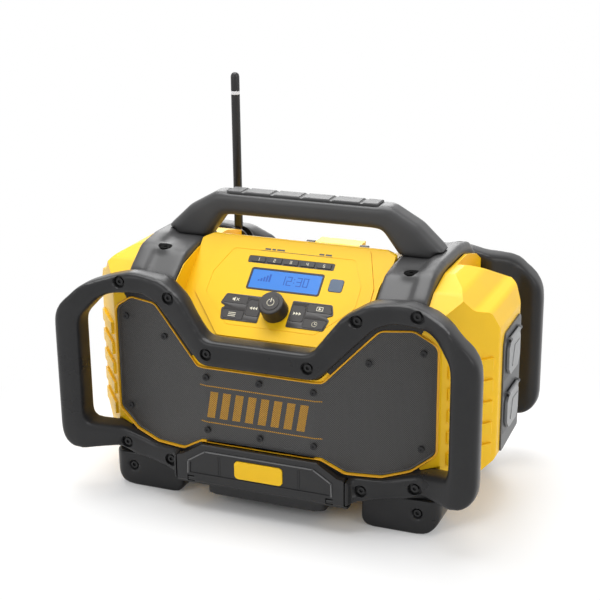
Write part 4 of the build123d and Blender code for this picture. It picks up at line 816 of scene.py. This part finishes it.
GRILLE_OUTLINE = [(75, 172, 8), (122, 221, 14), (134, 233, 12), (168, 234, 14), (192, 218, 14),
                  (192, 95, 12), (166, 75, 14), (136, 67, 12), (98, 69, 12), (72, 85, 6)]
LIP_PROFILE = [(0.45, -2.0), (0.45, 1.7), (0.8, 2.4), (1.35, 2.7), (1.9, 2.4), (2.25, 1.7), (2.25, -2.0)]
RIM_PROFILE = [(0.1, -2.5), (0.1, -0.9), (-0.6, -0.6), (-1.6, -0.6), (-2.2, -1.2), (-2.2, -2.5)]
APRON_PROFILE = [(0.6, -1.0), (0.6, 0.7), (9.0, 0.7), (9.0, -1.0)]
APRON_LINES = [[(84, 181), (122, 221), (134, 233), (168, 234), (174, 230.3)],
               [(173, 80.4), (166, 75), (136, 67), (98, 69), (74, 84)]]
RULE_HALF = 73              # half length of the two lines over and under the bars
BARS = 8
BAR_START = -61.5
BAR_PITCH = 15.4
BAR_HEIGHTS = (-0.05, 0.12)


def grille_edge():
    """Closed outline of the grille, both sides, with points where the nose bends."""
    right = GRILLE_OUTLINE
    left = [(-x, z, radius) for x, z, radius in reversed(right)]
    points = rounded(right + left, 7)
    out = []
    for index, (x0, z0) in enumerate(points):
        x1, z1 = points[(index + 1) % len(points)]
        out.append((x0, z0))
        for bound in (-NOSE_HALF, NOSE_HALF):
            if (x0 - bound) * (x1 - bound) < 0:
                share = (bound - x0) / (x1 - x0)
                out.append((bound, z0 + (z1 - z0) * share))
    return out


def band(name, outline, profile, material):
    """Ring that follows a closed outline, with a profile of (outward, proud) points."""
    count = len(outline)
    outwards = []
    for index in range(count):
        before = Vector(outline[index - 1])
        here = Vector(outline[index])
        after = Vector(outline[(index + 1) % count])
        first = (here - before).normalized()
        second = (after - here).normalized()
        across = Vector((first.y, -first.x)) + Vector((second.y, -second.x))
        outwards.append(-across.normalized() / max(0.5, across.length / 2))

    def shape(body):
        rings = []
        for (x, z), out in zip(outline, outwards):
            rings.append([body.verts.new(on_nose(x + out.x * outward, z + out.y * outward, proud))
                          for outward, proud in profile])
        for index in range(count):
            stitch(body, rings[index], rings[(index + 1) % count])

    dress(smooth_shading(mesh_piece(name, shape), 50), material, CABINET)


def apron(body, points):
    """Thin closed strip outside an open line on the housing's nose, on both sides of the middle."""
    outwards = []
    for index in range(len(points)):
        before = Vector(points[max(0, index - 1)])
        after = Vector(points[min(len(points) - 1, index + 1)])
        along = (after - before).normalized()
        outwards.append(Vector((-along.y, along.x)))
    for sign in BOTH_SIDES:
        rings = []
        for (x, z), out in zip(points, outwards):
            rings.append([body.verts.new(on_nose(sign * (x + out.x * outward), z + out.y * outward, height))
                          for outward, height in APRON_PROFILE])
        for here, after in zip(rings, rings[1:]):
            stitch(body, here, after)
        body.faces.new(rings[0])
        body.faces.new(list(reversed(rings[-1])))


def make_grille_trim():
    """Raised yellow lip round the grille, darkened to orange as painted shade, its plain rim, the dark
    strips outside, and the slanted bars.
    """
    outline = grille_edge()
    band("grille_lip", outline, LIP_PROFILE, SHADED_LIP)
    band("grille_rim", outline, RIM_PROFILE, BORDER)

    def aprons(body):
        for line in APRON_LINES:
            apron(body, line)

    def bars(body):
        for z in (106.5, 150.0):
            for x0, x1 in ((-RULE_HALF, -NOSE_HALF), (-NOSE_HALF, NOSE_HALF), (NOSE_HALF, RULE_HALF)):
                plate(body, box_outline(x0, x1, z, z + 1.3), *BAR_HEIGHTS, on_grille)
        for index in range(BARS):
            x = BAR_START + index * BAR_PITCH
            plate(body, [(x - 3.0, 113), (x + 6.5, 113), (x + 12.0, 144.5), (x + 2.5, 144.5)], *BAR_HEIGHTS,
                  on_grille)

    new_piece("grille_aprons", aprons, RUBBER, CABINET)
    new_piece("grille_bars", bars, BADGE)


# ---------------------------------------------------------------- outlets, door and antenna trim

OUTLET_FACE = 246.0
FLAP_FACE = 249.3
OUTLETS = (("upper", 183), ("lower", 119))
DOOR_FACE = 144
DOOR_LINE = [(-87, 45), (-86.5, 60), (-65, 73.5), (65, 73.5), (86.5, 60), (87, 45)]
DOOR_SEAM = 47
DOOR_SEAM_LINES = ((0, 1.3, 1.1), (2.2, 0.6, 1.3))      # further out, width, height
MAST_X = -125.0
MAST_Y = 90
SLEEVE_PROFILE = [(268, 4.4), (270, 5.1), (272, 5.3), (434, 5.3), (434, 4.6), (438.5, 4.6), (438.5, 5.3),
                  (455.5, 5.3), (458.0, 4.7), (459.8, 3.5), (460.7, 1.8)]
RING_HEIGHT = 434.1
RING_PROFILE = [(0, 5.1), (0.3, 5.35), (4.0, 5.35), (4.3, 5.1)]


def make_outlet_trim():
    """Black frames round the two outlets, and the raised plates on their covers."""
    for name, z in OUTLETS:
        def well(body):
            outline = rounded([(-28, z - 24, 2), (31, z - 24, 2), (31, z + 15, 2), (22, z + 24, 2),
                               (-18, z + 24, 2), (-28, z + 14, 2)])
            plate(body, outline, OUTLET_FACE - 0.5, OUTLET_FACE + 0.15, on_outlet)

        def opening(body):
            plate(body, box_outline(-16, 22, z - 16, z + 16), OUTLET_FACE - 3, OUTLET_FACE + 3, on_outlet)

        def raised(body):
            outline = rounded([(-8, z - 14, 1.5), (24, z - 14, 1.5), (24, z + 9, 1.5), (1, z + 9, 1.5)])
            plate(body, outline, FLAP_FACE - 0.5, FLAP_FACE + 0.6, on_outlet)

        frame_piece = cut(mesh_piece("outlet_well_" + name, well), opening)
        dress(frame_piece, PLASTIC, CABINET)
        new_piece("outlet_cover_" + name, raised, PALE, "flap_" + name)


def make_door_trim():
    """Skirts over the front feet, a dark strip under the device door as painted shade, and the door's
    raised line, in light grey as a painted highlight, and its seams.
    """
    def skirts(body):
        for sign in BOTH_SIDES:
            outline = box_outline(sign * 108, sign * 196, 41.4, 47.5)
            plate(body, outline[::sign], 0.0, 2.3, on_grille)

    # dark strip on the yellow belly under the door: painted shade
    def under_door_shade(body):
        plate(body, box_outline(-104, 104, 30.7, 32.8), 128, 141, on_front)

    # the raised line is drawn in light grey, a painted highlight along the door's bevel
    def edge(body):
        stroke(body, DOOR_LINE, 1.3, DOOR_FACE, DOOR_FACE + 2.25, on_front)

    def seams(body):
        for sign in BOTH_SIDES:
            for further, width, height in DOOR_SEAM_LINES:
                x = sign * (DOOR_SEAM + further)
                stroke(body, [(x, 46), (x, 70.5)], width, DOOR_FACE, DOOR_FACE + height, on_front)

    new_piece("foot_skirts", skirts, RUBBER, CABINET)
    new_piece("door_shade_strip", under_door_shade, PLASTIC, CABINET)
    new_piece("door_edge_highlight", edge, HIGHLIGHT_GREY, "device_door")
    new_piece("door_seams", seams, SCREW, "device_door")


def make_antenna_trim():
    """Rubber sleeve on the antenna's mast, and the bright ring near its tip."""
    def sleeve(body):
        lathe(body, (MAST_X, MAST_Y, 0), (0, 0, 1), SLEEVE_PROFILE)

    def ring(body):
        lathe(body, (MAST_X, MAST_Y, RING_HEIGHT), (0, 0, 1), RING_PROFILE)

    dress(smooth_shading(mesh_piece("antenna_sleeve", sleeve)), PLASTIC, "antenna")
    dress(smooth_shading(mesh_piece("antenna_ring", ring)), SILVER, "antenna")


# ---------------------------------------------------------------- the scene

make_camera()
make_world()
make_floor()
for lamp_settings in LAMPS:
    area_light(*lamp_settings)
bpy.context.scene.view_settings.view_transform = "Standard"

for part_name, slot_name in SLOT_OF.items():
    node_object = NODES[part_name]
    node_object.data.materials.clear()
    node_object.data.materials.append(LOOKS[slot_name])
# the saddle bolts in near-black matte: painted shade in their holes
NODES["saddle_bolts"].data.materials[0] = SHADE_BLACK

bevel_nodes(["front_housing", "rear_housing"], 3.2, 4, 14.0)
bevel_nodes(["control_panel"], 0.6)
bevel_nodes(["device_door", "battery_cover", "skid_plate", "outlet_panel"], 0.8)
bevel_nodes(["device_door_latch", "battery_clasp", "clasp_mount", "outlet_flap_upper", "outlet_flap_lower",
             "pairing_button"], 0.6)
bevel_nodes(["key_upper_left", "key_lower_left", "key_back", "key_forward", "key_upper_right",
             "key_lower_right", "preset_button_1", "preset_button_2", "preset_button_3",
             "preset_button_4", "preset_button_5", "display_trim"], 0.4)
bevel_nodes(["grille"], 0.5)

make_key_surrounds()
make_key_marks()
make_display_marks()
make_power_mark()
make_grille_trim()
make_outlet_trim()
make_door_trim()
make_antenna_trim()

make_cage("front_cage_soft", "front_cage", FRONT_SCREWS, -1)
make_cage("rear_cage_soft", "rear_cage", REAR_SCREWS, 1)
make_saddle("saddle_left_soft", "saddle_left", -1)
make_saddle("saddle_right_soft", "saddle_right", 1)
# handle in the lighter rubber copy: painted light from above
make_soft("carry_handle_soft", "carry_handle", 1.6, 26, TOPLIT_RUBBER)
make_soft("feet_soft", "feet", 1.5, 18, RUBBER)
